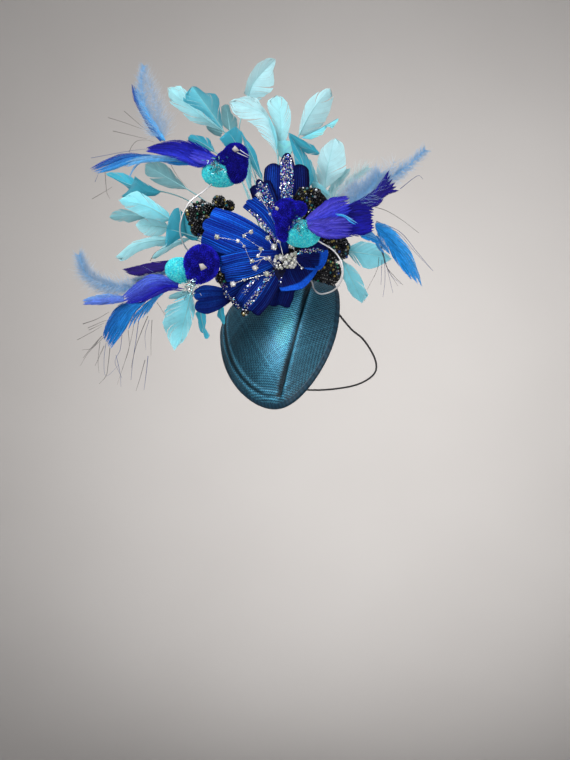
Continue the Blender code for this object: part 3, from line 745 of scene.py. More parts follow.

# Each feather's vanes: quill stops x z, depths at base and tip, outline x z, tones, roll, painted light of
# the halves
AQUA_FEATHERS = {
    "left_top_light": (
        (((-59, 209), (-82, 225), (-115, 252)), (14, 4),
         ((-66, 211), (-75, 214), (-84, 216), (-92, 219), (-98, 225), (-104, 231), (-110, 235), (-113, 240),
          (-115, 248), (-116, 254), (-108, 255), (-100, 254), (-90, 245), (-75, 230), (-63, 216)),
         AQUA_LIGHT, 10, (0.95, 1.05)),
    ),
    "left_top_teal": (
        (((-59, 210), (-71, 228), (-90, 254)), (0, -14),
         ((-70, 219), (-80, 228), (-90, 234), (-99, 239), (-98, 247), (-101, 254), (-96, 255.5), (-92, 254),
          (-88, 254.5), (-83, 252), (-78, 248), (-72, 247), (-66, 245), (-62, 240), (-61.5, 230),
          (-60, 219)), AQUA_TEAL, -8, (1.25, 0.85)),
    ),
    "left_top_square": (
        (((-42, 190), (-48, 200), (-54, 209)), (-10, -18),
         ((-50, 191), (-57, 194), (-63, 202), (-59, 207), (-53, 210), (-47, 214.5), (-40, 208), (-39, 198)),
         AQUA_MIDDLE, 8, (1.1, 1.0)),
    ),
    "left_top_blade": (
        (((-20, 160), (-28, 180), (-42, 211)), (6, 6),
         ((-19, 164), (-22, 171), (-24, 179), (-25, 185), (-27, 190), (-31, 195), (-37, 203), (-41, 210),
          (-40, 202), (-36, 190), (-32, 178), (-26, 167)), AQUA_MIDDLE, 15, (0.75, 1.0)),
        (((-31, 146), (-34, 162), (-32, 182)), (4, 4),
         ((-30, 152), (-30, 168), (-33, 150), (-37, 165), (-37, 176)), AQUA_SOFT, 0, (1.1, 0.9)),
    ),
    "left_top_pair": (
        (((-52, 209), (-54, 223), (-56, 236)), (31, 32),
         ((-60, 215), (-61, 225), (-61, 234), (-57, 236), (-53, 235), (-51, 228), (-45, 222), (-44, 213)),
         AQUA_GREY, 0, (1.0, 1.1)),
        (((-59, 207), (-68, 210), (-76, 213)), (31, 29),
         ((-62, 213), (-70, 214.5), (-75, 214.5), (-74, 209.5), (-68, 205), (-61, 203)), AQUA_GREY, 0,
         (1.1, 1.0)),
    ),
    "left_behind_bird": (
        (((-67, 188), (-80, 197), (-94, 203)), (20, 20),
         ((-69, 195), (-73, 202), (-80, 204), (-88, 205.5), (-93, 206), (-95, 203), (-95, 200), (-90, 197),
          (-84, 194), (-77, 190)), AQUA_MIDDLE, 0, (0.85, 1.0)),
    ),
    "top_tall": (
        (((-34.5, 243), (-27, 259), (-6, 281)), (48, 44),
         ((-38.5, 247), (-37, 252), (-35, 261), (-30, 271), (-24, 278), (-17, 281), (-9, 282), (-7.5, 276),
          (-8.5, 270), (-6.5, 260), (-7, 253), (-10, 248.5), (-17, 243), (-24, 239)), AQUA_PALE, 0,
         (0.68, 1.03)),
    ),
    "top_curved": (
        (((-5, 186), (-9, 208), (-20, 227), (-53, 238)), (12, 16),
         ((-6, 200), (-8.5, 212), (-12, 221), (-16, 229), (-21, 236), (-25, 243), (-34, 245), (-45, 242.5),
          (-53, 241.5), (-11, 194), (-18, 201), (-24, 209), (-30, 215.5), (-38, 220.5), (-43, 222),
          (-49, 227)), AQUA_PALE, 8, (1.04, 0.9)),
        (((-5, 190), (-8, 208), (-14, 226)), (9, 11),
         ((-7, 198), (-10, 208), (-13, 217), (-4.5, 200), (-6.5, 210), (-10.5, 219)), AQUA_CLEAR, 0,
         (0.75, 0.95)),
    ),
    "top_left": (
        (((-3, 190), (-1, 215), (-5, 245)), (24, 30),
         ((-6, 200), (-8, 212), (-12, 224), (-15, 233), (-16, 238), (-13, 244), (-8, 246), (-4, 245),
          (1, 242), (6, 236), (9, 228), (9, 220), (7, 209), (4, 199)), AQUA_LIGHT, -8, (0.92, 1.0)),
        (((3, 180), (3, 190), (3, 200)), (20, 18),
         ((-3, 184), (-5, 190), (-5, 198), (-2, 200), (8, 184), (10, 190), (9, 199), (5, 200)), AQUA_CLEAR,
         0, (1.15, 1.2)),
    ),
    "top_blade": (
        (((26, 150), (20, 180), (6, 206)), (0, -6),
         ((17, 160), (13, 172), (11, 186), (8, 198), (32, 160), (29, 172), (25, 184), (16, 196), (9, 204)),
         AQUA_MIDDLE, -10, (1.15, 1.0)),
        (((38, 186.5), (25, 193), (5, 208)), (-10, -10),
         ((36, 189), (31, 195), (22, 199.5), (13, 204.5), (36, 184.5), (30, 185.5), (24, 187), (14, 197)),
         AQUA_DEEP, 0, (0.85, 1.0)),
    ),
    "top_right": (
        (((17, 205), (30, 229), (48, 252)), (33, 34),
         ((17, 211), (19, 220), (21, 230), (24, 237), (28, 242), (34, 246.5), (41, 250), (47, 253),
          (51, 249), (52, 244), (50, 235), (48, 228), (44, 219), (40, 213), (33, 207), (24, 203)),
         AQUA_PALE, 8, (1.0, 0.92)),
        (((19, 202), (38, 211), (57, 222)), (30, 30),
         ((30, 208), (45, 214.5), (54, 221), (28, 200), (40, 205), (50, 211), (56, 219)), AQUA_SOFT, 0,
         (0.7, 1.5)),
    ),
    "right_soft": (
        (((42, 150), (46, 175), (53, 202)), (10, 16),
         ((36, 157), (34, 166), (35, 178), (38, 190), (43, 196), (49, 200), (56, 203.5), (60, 203),
          (62, 193), (64, 182), (65, 172), (58, 163), (50, 156)), AQUA_PALE, -6, (0.88, 1.0)),
        (((52, 141), (41, 149), (28, 159)), (4, 2),
         ((49, 139), (40, 142), (35, 148), (30, 156), (49, 146), (43, 153), (35, 158)), AQUA_SOFT, 0,
         (0.9, 1.1)),
        (((36, 150), (29, 166), (24, 182)), (6, 2),
         ((30, 152), (27, 162), (25, 172), (36, 160), (33, 170), (29, 180)), AQUA_SOFT, 0, (1.0, 1.1)),
    ),
    "right_low_soft": (
        (((44, 140), (56, 158), (69, 172)), (24, 36),
         ((46, 150), (53, 163), (62, 171), (52, 144), (60, 155), (67, 166)), AQUA_LIGHT, 0, (0.85, 0.95)),
    ),
    "left_grey": (
        (((-95, 151), (-114, 162), (-137, 176)), (4, 6),
         ((-100, 157), (-107, 165), (-112, 172), (-117, 177), (-124, 179.5), (-132, 179), (-137, 178),
          (-138, 171), (-137, 166), (-131, 160), (-124, 156), (-115, 152.5), (-105, 151)), AQUA_GREY, 6,
         (1.15, 1.0)),
    ),
    "left_far": (
        (((-122, 149), (-148, 154), (-177, 166)), (18, 20),
         ((-140, 157), (-150, 163), (-158, 167), (-170, 168.5), (-177, 167.5), (-140, 147), (-152, 150),
          (-158, 155), (-166, 160), (-176, 165)), AQUA_MIDDLE, -8, (0.95, 1.05)),
        (((-121, 148), (-140, 149), (-161, 144)), (14, 12),
         ((-128, 152), (-133, 156), (-138, 158), (-143, 162), (-146, 165), (-148, 159), (-152, 153),
          (-156, 148), (-128, 144), (-140, 143), (-150, 142), (-158, 142.5)), AQUA_DEEP, 0, (1.0, 0.9)),
    ),
    "left_light": (
        (((-111, 120), (-136, 134), (-164, 140)), (-6, -16),
         ((-114, 128), (-120, 133), (-125, 137), (-131, 141), (-137, 146), (-143, 149.5), (-150, 147.5),
          (-157, 143), (-160, 135), (-157, 132), (-150, 129), (-145, 126), (-138, 122.5), (-130, 121),
          (-120, 118)), AQUA_CLEAR, 4, (1.0, 1.1)),
    ),
    "left_small": (
        (((-132, 123), (-152, 125), (-173, 123)), (8, 8),
         ((-141, 124), (-148, 128), (-155, 130), (-160, 131.5), (-166, 130), (-170, 128), (-172, 122),
          (-167, 119), (-162, 118), (-157, 119), (-153, 117), (-146, 119)), AQUA_GREY, 0, (1.4, 1.5)),
    ),
    "left_pale": (
        (((-112, 112), (-130, 114), (-147, 115)), (2, 0),
         ((-116, 118), (-122, 120), (-128, 122), (-135, 123), (-141, 121), (-146, 113), (-143, 109),
          (-138, 105), (-130, 103), (-120, 105)), AQUA_LIGHT, 6, (1.0, 1.08)),
    ),
    "left_long": (
        (((-112, 101), (-140, 97), (-167, 83)), (-12, -22),
         ((-117, 104), (-124, 104), (-132, 103), (-140, 101), (-148, 99), (-154, 94), (-160, 89),
          (-160, 79.5), (-156, 80), (-152, 83), (-146, 87), (-140, 90), (-133, 92), (-125, 94),
          (-117, 93)), AQUA_LIGHT, -6, (1.0, 0.95)),
        (((-92, 101), (-112, 95), (-131, 82)), (-14, -16),
         ((-105, 100), (-120, 93), (-128, 86), (-100, 96), (-115, 88), (-127, 81)), AQUA_LIGHT, 0,
         (0.85, 0.9)),
    ),
    "left_curled": (
        (((-96, 106), (-106, 109), (-115.5, 111)), (-20, -30),
         ((-97, 126), (-101, 132), (-106, 131), (-110, 126), (-113, 119), (-103, 101), (-108, 98),
          (-113, 95), (-117, 92.5), (-116.5, 101)), AQUA_MIDDLE, 0, (1.0, 0.8)),
        (((-84, 100), (-92, 112), (-98, 128)), (-16, -20),
         ((-90, 100), (-98, 104), (-101, 116), (-82, 106), (-88, 116), (-93, 128)), AQUA_DEEP, 0,
         (1.3, 1.1)),
    ),
    "low_light": (
        (((-91, 47), (-97, 22), (-107.5, -11)), (-22, -40),
         ((-104, 43), (-113, 37), (-117, 31), (-116, 27), (-119, 20), (-117, 11), (-112, -2), (-88, 38),
          (-87, 30), (-89, 20), (-92, 12), (-95, 5), (-99, -1), (-104, -6)), AQUA_CLEAR, 0, (1.05, 1.0)),
        (((-88, 44), (-100, 46), (-114, 42)), (-18, -22),
         ((-95, 49), (-105, 48), (-112, 45), (-95, 41), (-105, 41), (-112, 41)), AQUA_GREY, 0, (1.5, 1.5)),
    ),
    "low_pair": (
        (((-82, 31), (-79, 15), (-74, 1)), (-12, -20),
         ((-87, 27), (-84, 20), (-82.5, 10), (-81, 8), (-79, 7), (-77, 1), (-76, 26), (-76, 18), (-77, 12),
          (-72, 5), (-73, 3)), AQUA_MIDDLE, 0, (1.3, 1.2)),
        (((-61, 38), (-61, 26), (-58, 15)), (-16, -22),
         ((-64, 30), (-65, 24), (-62, 21), (-60, 17), (-58, 32), (-57, 24), (-57, 18)), AQUA_MIDDLE, 0,
         (1.4, 1.1)),
    ),
    "right_fan": (
        (((64, 89), (86, 86), (110, 81)), (-20, -28),
         ((66, 93), (72, 96), (78, 99), (85, 98), (90, 97), (96, 95), (100, 90), (107, 85), (68, 84),
          (74, 77), (80, 73), (88, 71), (95, 73), (102, 76), (108, 79)), AQUA_SOFT, 0, (1.0, 1.1)),
    ),
    "right_low": (
        (((61, 79), (70, 60), (80, 36.5)), (-26, -36),
         ((65, 77), (70, 74), (76, 67), (79, 62), (82, 55), (84, 49), (86, 45), (83, 41), (59.5, 70),
          (61, 62), (64, 57), (66, 50), (70, 45), (75, 41)), AQUA_SOFT, 8, (1.05, 1.3)),
    ),
}
SOFT_FEATHER = ((44, 132), (60, 150), (74, 163), (86, 172))
SOFT_FEATHER_DEPTHS = (-4, 6)
SOFT_TONE = ((0.36, 0.64, 0.68), (0.50, 0.66, 0.70))
# reach, hairs, width
SOFT_HAIRS = ((9, 700, 0.3), (22, 260, 0.22))
HAIR_SLANT = 52
HAIR_CURL = 0.25


def stem_root(depth):
    """Stems that end further back also leave the pad further back."""
    return STEM_ROOT + np.array((0, np.clip(depth * STEM_ROOT_SHARE, -STEM_ROOT_SPREAD, STEM_ROOT_SPREAD), 0))


def fluff(bundle, stops, depths, reach, count, tone, random, width=0.28):
    """Loose hairs along a soft quill, shorter towards its tip, that bend towards it."""
    line, across, facing = hang(front_line(stops, depths)[1])
    marks = np.linspace(0, 1, len(line))
    share = random.random(count)
    near = [np.stack([np.interp(share, marks, values[:, i]) for i in range(3)], -1) for values in
            (line, across, facing, np.gradient(line, axis=0))]
    start, out, face, along = near[0], unit(near[1]), unit(near[2]), unit(near[3])
    turn = np.radians(random.normal(HAIR_SLANT, 13, count))[:, None]
    side = np.array((-1, 1))[random.integers(0, 2, count)][:, None]
    way = along * np.cos(turn) + out * side * np.sin(turn) + face * random.normal(0, 0.3, (count, 1))
    long = (reach * random.uniform(0.35, 1, count) * (1 - 0.5 * share))[:, None]
    bend = along * random.normal(0.2, HAIR_CURL, (count, 1)) + random.normal(0, 0.12, (count, 3))
    step = np.linspace(0, 1, 6)[None, :, None]
    wave = np.sin(step * random.uniform(3, 9, (count, 1, 1)) + random.uniform(0, 6, (count, 1, 1))) * 0.05
    hair = start[:, None] + (way * long)[:, None] * step + (bend * long)[:, None] * step**2
    hair = hair + np.cross(way, TO_VIEWER)[:, None] * long[:, None] * wave
    half = unit(np.cross(way, TO_VIEWER))[:, None] * width / 2 * (1 - 0.75 * step)
    blend = np.clip(step + random.normal(0, 0.2, (count, 1, 1)), 0, 1)
    tint = np.array(tone[0]) * (1 - blend) + np.array(tone[1]) * blend
    bundle.strips(hair - half, hair + half, tint)


for number, (name, vanes) in enumerate(AQUA_FEATHERS.items()):
    feather_work = Bundle()
    feather_random = np.random.default_rng(100 + number)
    for index, (stops, depths, drawn, tone, roll, halves) in enumerate(vanes):
        line = goose_vane(feather_work, stops, depths, drawn, tone, feather_random, roll, halves=halves)
        root = stem_root(depths[0]) if index == 0 or name == "low_pair" else line[0]
        stem(feather_work, root, line[0], unit(line[1] - line[0]), STEM_RADIUS * (1 if index == 0 else 0.6),
             STEM_TINT, line[:-4])
    feather_work.piece("goose_" + name, [aqua_feather], "aqua_feather", "feather_" + name)

feather_work = Bundle()
feather_random = np.random.default_rng(140)
soft_line = front_line(SOFT_FEATHER, SOFT_FEATHER_DEPTHS)[1]
stem(feather_work, stem_root(SOFT_FEATHER_DEPTHS[0]), soft_line[0], unit(soft_line[1] - soft_line[0]), 0.5,
     STEM_TINT, soft_line[:-4])
for reach, count, width in SOFT_HAIRS:
    fluff(feather_work, SOFT_FEATHER, SOFT_FEATHER_DEPTHS, reach, count, SOFT_TONE, feather_random, width)
feather_work.piece("goose_right_fluffy", [aqua_feather], "aqua_feather", "feather_right_fluffy")

# Flower
# A big open flower of stiffened velvet, pressed into fine ribs and cut into lobes with a dark edge.
# Some petals curl forward, and strips of loose glitter are glued along others. Wired to the pad.
PETAL_ROOT = 19
PETAL_LAYER = 5
PETAL_HEART = np.array((5, 0, 14))
PETAL_ROOT_WIDTH = 7
PETAL_CUP = 0.06
PETAL_THICKNESS = 0.8
PETAL_COLUMN = 0.34
PETAL_ROWS = 40
RIB_PITCH = 2.0
VELVET_STREAKS = 56
HEART_PETAL_ROOT = (-50, 44, -30)
HEART_STALK_RADIUS = 0.8
HEART_STALK_TINT = (0.01, 0.02, 0.06)
# VELVET_BRIGHT is the colour of the painted highlights on the rib crests and the curled edges.
VELVET_BRIGHT = np.array((0.010, 0.150, 0.92))
VELVET_ROYAL = np.array((0.008, 0.022, 0.46))
VELVET_DARK = np.array((0.005, 0.003, 0.06))
GLITTER = ((0.85, 0.87, 0.90), (0.95, 0.95, 0.97), (0.80, 0.74, 0.62), (0.10, 0.60, 0.90), (0.30, 0.10, 0.60),
           (0.03, 0.10, 0.62), (0.02, 0.02, 0.04), (0.60, 0.63, 0.70), (0.02, 0.04, 0.30), (0.01, 0.01, 0.05))

# name, layer, tip x z y, width, bend, arch, roll, ribs, painted light of the sides, contrast of the painted
# rib highlights and groove shade, dark rim, lobes, curl
PETALS = (
    ("petal_top", 1, 5, 187, -48, 44, 0, 4, 3, 0.9, (0.60, 0.02), 0.9, 1.0, 0.19, 0),
    ("petal_top_left", 2, -24, 161, -55, 23, 0, 4, -3, 0.6, (0.10, 0.30), 0.8, 1.0, 0.10, 0),
    ("petal_left_strip", 2.6, -35, 140, -57, 17, 6, 4, 3, 1.0, (0.9, 0.9), 0.85, 0.3, 0.06, 0),
    ("petal_left_big", 1, -79, 117, -52, 41, 0, 4, 3, 1.0, (0.9, 1.15), 0.75, 0.1, 0.08, 0),
    ("petal_left_middle", -1, -74, 89, -40, 30, 0, 4, 0, 1.0, (0.75, 0.95), 0.95, 0.3, 0.08, 0),
    ("petal_left_low", 2, -62, 70, -57, 28, 0, 5, -3, 1.0, (0.60, 0.85), 0.85, 0.3, 0.08, 0),
    ("petal_low_outer", 0, -58, 43, -44, 37, 0, 4, 3, 0.8, (0.25, 0.50), 0.8, 0.6, 0.08, 0),
    ("petal_low_left", 1, -38, 29, -52, 31, 0, 5, -3, 0.8, (0.15, 0.50), 0.8, 0.6, 0.10, 0),
    ("petal_low", -1, -10, 34, -42, 36, 0, 4, 0, 0.3, (0.10, 0.12), 0.5, 0.5, 0.08, 0),
    ("petal_low_right", 1, 22, 51, -52, 40, 0, 5, 3, 0.4, (0.08, 0.10), 0.6, 0.2, 0.22, 2),
    ("petal_right", 0, 47, 86, -48, 32, 0, 5, -3, 0.4, (0.06, 0.12), 0.6, 0.4, 0.20, 1),
    ("petal_small_heart", -2, -88, 39, -32, 28, 0, 2, 0, 0.15, (0.22, 0.30), 0.1, 0.1, -0.12, 0),
)
# petal, strip across from and to, strip along from and to, chips
GLITTER_STRIPS = (
    ("petal_top", -0.28, 0.28, 0.42, 0.98, 760),
    ("petal_top_left", -0.50, 0.60, 0.35, 0.96, 460),
    ("petal_left_strip", -1.0, -0.62, 0.25, 0.90, 260),
    ("petal_low_left", -0.12, 0.16, 0.25, 0.95, 240),
    ("petal_low_left", 0.55, 0.78, 0.35, 0.85, 90),
    ("petal_low_outer", -0.95, 0.95, 0.93, 0.985, 130),
    ("petal_low_right", 0.74, 0.98, 0.25, 0.85, 120),
    ("petal_right", -0.40, -0.12, 0.30, 0.90, 110),
    ("petal_right", 0.74, 0.84, 0.30, 0.68, 50),
)


def petal_root(layer):
    """Where a petal leaves the pad: those of a higher layer stand further forward."""
    return PAD_MIDDLE + PAD_TOWARDS_FLOWER * (PETAL_ROOT + PETAL_LAYER * layer) + PETAL_HEART


def petal_place(root, tip, width, arch, roll, share, across, bend=0.0):
    """A place on a petal: it widens from its root and arches forward; across runs from -1 to 1."""
    way = unit(tip - root)
    side = unit(np.cross(way, TO_VIEWER))
    facing = np.cross(side, way)
    side = side * math.cos(math.radians(roll)) - facing * math.sin(math.radians(roll))
    facing = np.cross(side, way)
    spread = np.sin(np.minimum(1, share / 0.75) * math.pi / 2) ** 0.85
    wide = PETAL_ROOT_WIDTH + (width - PETAL_ROOT_WIDTH) * spread * (1 - 0.5 * np.maximum(0, share - 0.75))
    lift = arch * np.sin(math.pi * share) - PETAL_CUP * wide * across**2
    line = root + (tip - root) * share[:, None]
    aside = across * wide / 2 + bend * np.sin(math.pi * share)
    return line + side * aside[:, None] + facing * lift[:, None], facing, wide


def lobed(across, depth, curled=0):
    """How far the end reaches: round if it curls, a heart for a negative depth, else in three lobes."""
    if curled:
        return 1 - depth * across**2
    if depth < 0:
        return 1 + depth * (1 - np.sqrt(np.abs(np.sin(math.pi * across)))) * (1 + 1.6 * across**2)
    middle = np.sqrt(np.clip(1 - (across / 0.37) ** 2, 0, 1))
    side = np.sqrt(np.clip(1 - ((np.abs(across) - 0.6) / 0.42) ** 2, 0, 1))
    return 1 - depth + depth * np.maximum(middle, 0.45 * side)


def sheet_mesh(name, columns, rows, shape):
    """A fine grid laid into place; shape gives each place and tint for share and across."""
    bpy.ops.object.select_all(action="DESELECT")
    bpy.ops.mesh.primitive_grid_add(x_subdivisions=columns, y_subdivisions=rows, size=2, location=(0, 0, 0))
    made = bpy.context.object
    made.name = name
    made.data.name = name
    flat = places_of(made.data)
    places, tints = shape((flat[:, 1] + 1) / 2, flat[:, 0])
    made.data.vertices.foreach_set("co", (places * MM).ravel())
    paint(made.data, tints)
    made.data.update()
    return made


def apply_modifier(piece, kind, **settings):
    """Puts a modifier on the piece and makes its result the piece's own shape."""
    step = piece.modifiers.new(kind.lower(), kind)
    for name, value in settings.items():
        setattr(step, name, value)
    bpy.context.view_layer.objects.active = piece
    bpy.ops.object.modifier_apply(modifier=step.name)


velvet = tinted(new_material("pressed_velvet", 0.7, sheen_weight=0.03, sheen_roughness=0.4,
                             sheen_tint=(0.15, 0.35, 1.0), specular_ior_level=0.05), 700, 0.55)
bump_by(velvet, noise(velvet, 3000, 2.0), 0.5, 0.0003)
glitter = tinted(new_material("loose_glitter", 0.25, metallic=0.4, specular_ior_level=0.8), 300, 0.8)
glitter_work = Bundle()
for number, (name, layer, x, z, y, width, bend, arch, roll, ribs, lights, painted_rib_contrast, dark_rim, depth,
             curled) in enumerate(PETALS):
    petal_random = np.random.default_rng(200 + number)
    root = front(*HEART_PETAL_ROOT) if name == "petal_small_heart" else petal_root(layer)
    tip = front(x, z, y)
    length = np.linalg.norm(tip - root)
    count = round(width / RIB_PITCH)
    painted_rib_highlight = np.clip(petal_random.normal(0.8, 0.4, count + 2), 0.05, 1.5)
    rib_rise = np.clip(petal_random.normal(1, 0.3, count + 2), 0.4, 1.6)
    waves = petal_random.uniform(0, 6.28, 4)
    streaks = np.random.default_rng(240 + number).normal(0.97, 0.5, VELVET_STREAKS)

    def petal_shape(share, across, trim=True):
        """The places and tints of the petal's front, with its ribs, its ruffle and its curled edge, and
        painted light and shade on the velvet.
        """
        reach = share * (1 - (1 - lobed(across, depth, curled)) * share) if trim else share
        places, facing, wide = petal_place(root, tip, width, arch, roll, reach, across, bend)
        # Painted light and shade: each side of the petal has its own painted light, which lightens or darkens
        # its base colour and its rib highlights.
        light = lights[0] + (lights[1] - lights[0]) * (across + 1) / 2
        drift = 0.35 * np.sin(5 * share + waves[0]) + 0.2 * np.sin(9 * share + 3 * across + waves[1])
        turn = (across + 1) / 2 * count + drift
        rib = 0.5 + 0.5 * np.cos(2 * math.pi * turn)
        index = np.clip(turn.round().astype(int), 0, count + 1)
        edge = np.minimum((1 - np.abs(across)) * wide / 2, (1 - share) * length * 0.9)
        rim = np.exp(-((edge / (1.3 + 1.7 * dark_rim)) ** 2))
        swell = np.minimum(1, 1.2 * wide / width)
        ruffle = 1.6 * share**2 * np.sin(2.2 * math.pi * across + waves[2])
        rise = ribs * 0.5 * rib_rise[index] * rib * swell * (1 - rim) + 0.5 * rim + ruffle
        painted_curl_highlight = 0 * across
        if curled:
            corner = share * np.clip(across * 3 + 1.5, 0, 1)
            toward = share if curled == 2 else np.maximum(across + 0.1, corner)
            rise = rise + 6 * np.clip((toward - 0.5) / 0.5, 0, 1) ** 1.8
            # Painted highlight along the curled-up edge.
            painted_curl_highlight = np.clip((toward - 0.80) / 0.05, 0, 1)
        patch = 0.85 + 0.3 * np.sin(7 * share + 4 * across + waves[3]) * np.sin(3 * share - 2 * across)
        # Painted highlight on the rib crests, each rib with its own strength; the velvet's patches and
        # streaks are its own.
        shine = 1 - painted_rib_contrast + painted_rib_contrast * rib**1.7 * painted_rib_highlight[index]
        marks = ((across + 1) / 2 + 0.02 * drift) * (VELVET_STREAKS - 1)
        streak = np.interp(marks, range(VELVET_STREAKS), streaks)
        # The shine also takes the side's painted light, and painted shade near the root.
        shine = np.clip(shine * light * patch * streak * np.clip(share * 2.0, 0.1, 1), 0, 1.15)
        base = VELVET_DARK + (VELVET_ROYAL - VELVET_DARK) * np.clip(light * 0.8, 0, 1)[:, None]
        # Painted shade in the grooves between the ribs.
        base = base * (1 - 0.9 * painted_rib_contrast * (1 - rib))[:, None]
        tint = base + (VELVET_BRIGHT - base) * shine[:, None]
        tint = tint + (VELVET_DARK * 0.4 - tint) * 0.9 * dark_rim * rim[:, None]
        tint = tint + (VELVET_BRIGHT * (0.9, 0.75, 0.85) - tint) * painted_curl_highlight[:, None]
        # Painted shade: the petal darkens towards its root at the heart of the flower.
        tint = tint * np.clip(0.3 + share[:, None] * 3, 0, 1)
        return places + facing * rise[:, None], tint

    petal = sheet_mesh("velvet_" + name, round(width / PETAL_COLUMN), PETAL_ROWS, petal_shape)
    apply_modifier(petal, "SOLIDIFY", thickness=PETAL_THICKNESS * MM, offset=0)
    petal.data.shade_smooth()
    petal.data.materials.append(velvet)
    own(petal, "velvet", name)
    for owner, from_across, to_across, from_share, to_share, chips in GLITTER_STRIPS:
        if owner != name:
            continue
        across = petal_random.uniform(from_across, to_across, chips)
        share = petal_random.uniform(from_share, to_share, chips)
        limit = lobed(across, depth, curled)
        share = share * (1 - (1 - limit) * share)
        middles, _ = petal_shape(share, across, False)
        ahead, _ = petal_shape(share + 0.01, across, False)
        aside, _ = petal_shape(share, across + 0.01, False)
        normal = unit(np.cross(aside - middles, ahead - middles))
        normal = unit(normal * np.sign(-normal[:, 1:2] + 1e-6) + petal_random.normal(0, 0.35, (chips, 3)))
        first = unit(np.cross(normal, petal_random.normal(size=(chips, 3))))
        second = np.cross(normal, first)
        size = petal_random.uniform(0.4, 0.95, (chips, 1))
        middles = middles + normal * petal_random.uniform(0.4, 1.2, (chips, 1))
        corners = np.stack([middles + first * size, middles + second * size,
                            middles - first * size, middles - second * size], 1)
        tones = np.array(GLITTER)[petal_random.integers(0, len(GLITTER), chips)]
        faces = np.arange(chips * 4).reshape(-1, 4)
        glitter_work.add(corners, faces.tolist(), tones[:, None])
glitter_work.piece("flower_glitter", [glitter], "crystal", smooth=False)
stalk_work = Bundle()
stalk_end = front(*HEART_PETAL_ROOT)
stem(stalk_work, STEM_ROOT, stalk_end, unit(stalk_end - STEM_ROOT), HEART_STALK_RADIUS,
     HEART_STALK_TINT)
stalk_work.piece("velvet_heart_stalk", [velvet], "velvet", "petal_small_heart")

# Beaded leaves
# Black felt leaves sewn all over with faceted jet beads, with berries made of the same beads. A few
# beads have a green, gold or silver lustre. The leaves stand behind the flower.
LEAF_ARCH = 2
LEAF_ROWS = 24
LEAF_COLUMNS = 12
LEAF_SWEEP = 0.07
LEAF_BEADED_SHARE = 0.96
FELT_TINT = (0.008, 0.008, 0.012)
BERRY_FELT_TINT = (0.004, 0.004, 0.006)
BEAD_PITCH = 2.7
BEAD_RADIUS = 1.42
JET_TINTS = ((0.003, 0.003, 0.005),) * 24 + ((0.35, 0.37, 0.40), (0.01, 0.20, 0.10), (0.02, 0.05, 0.25),
                                           (0.30, 0.24, 0.06), (0.01, 0.12, 0.16))
# name, layer, tips x z y and width, berries by tip with share, across and radius
BEADED_LEAVES = (
    ("beaded_leaf_left", -1.4, ((-93, 131, -30, 29),),
     ((0, 0.95, -0.15, 7), (0, 0.86, 0.55, 6), (0, 0.74, -0.3, 5), (0, 0.84, -0.95, 6.5))),
    ("beaded_leaf_top", 0.9, ((34, 151, -58, 32),), ((0, 0.95, 0.1, 4.5), (0, 0.86, -0.6, 4))),
    ("beaded_leaf_right", -1.8, ((67, 96, -30, 26), (59, 64, -32, 22)),
     ((0, 0.93, 0.1, 4.5), (1, 0.9, 0, 4))),
)
# x, z, y, radius
LOOSE_BERRIES = ((-60, 63, -47, 6), (-37, 27, -57, 3.2), (-63, 138, -34, 6), (-53, 134, -32, 5))


def bead_form(subdivisions):
    """A faceted bead of radius 1, as points and faces to copy."""
    bpy.ops.object.select_all(action="DESELECT")
    bpy.ops.mesh.primitive_ico_sphere_add(subdivisions=subdivisions, radius=1, location=(0, 0, 0))
    made = bpy.context.object
    points = places_of(made.data)
    faces = [list(face.vertices) for face in made.data.polygons]
    bpy.data.objects.remove(made, do_unlink=True)
    return points, faces


def random_turns(random, count):
    """A random turn for each of several copies."""
    first = unit(random.normal(size=(count, 3)))
    second = unit(np.cross(first, random.normal(size=(count, 3))))
    return np.stack([first, second, np.cross(first, second)], 1)


def scatter(bundle, form, middles, sizes, tints, random, finish=0, squash=1.0):
    """A copy of a form at each place, each turned its own way."""
    points, faces = form
    middles = np.asarray(middles, float)
    count = len(middles)
    sizes = np.broadcast_to(sizes, count)[:, None, None]
    turned = np.einsum("pi,nij->npj", points * (1, 1, squash), random_turns(random, count))
    copies = turned * sizes + middles[:, None]
    offsets = np.arange(count)[:, None, None] * len(points)
    all_faces = (np.array(faces)[None] + offsets).reshape(-1, len(faces[0])).tolist()
    bundle.add(copies, all_faces, np.broadcast_to(np.asarray(tints), (count, 3))[:, None], finish)


def on_ball(count, random):
    """Even places over a ball of radius 1."""
    index = np.arange(count) + 0.5
    height = 1 - 2 * index / count
    turn = index * math.pi * (3 - math.sqrt(5)) + random.uniform(0, 6)
    reach = np.sqrt(1 - height**2)
    return np.stack([reach * np.cos(turn), reach * np.sin(turn), height], -1)


def sew_berry(bundle, middle, radius, random):
    """A ball of felt with beads sewn all over it."""
    beads = int(4 * math.pi * radius**2 / (BEAD_PITCH * 0.95) ** 2)
    scatter(bundle, gem_form, middle, radius - 0.5, BERRY_FELT_TINT, random, 1)
    tints = np.array(JET_TINTS)[random.integers(0, len(JET_TINTS), beads)]
    sizes = BEAD_RADIUS * random.uniform(0.9, 1.2, beads)
    scatter(bundle, seed_form, middle + on_ball(beads, random) * (radius - 0.2), sizes, tints, random)


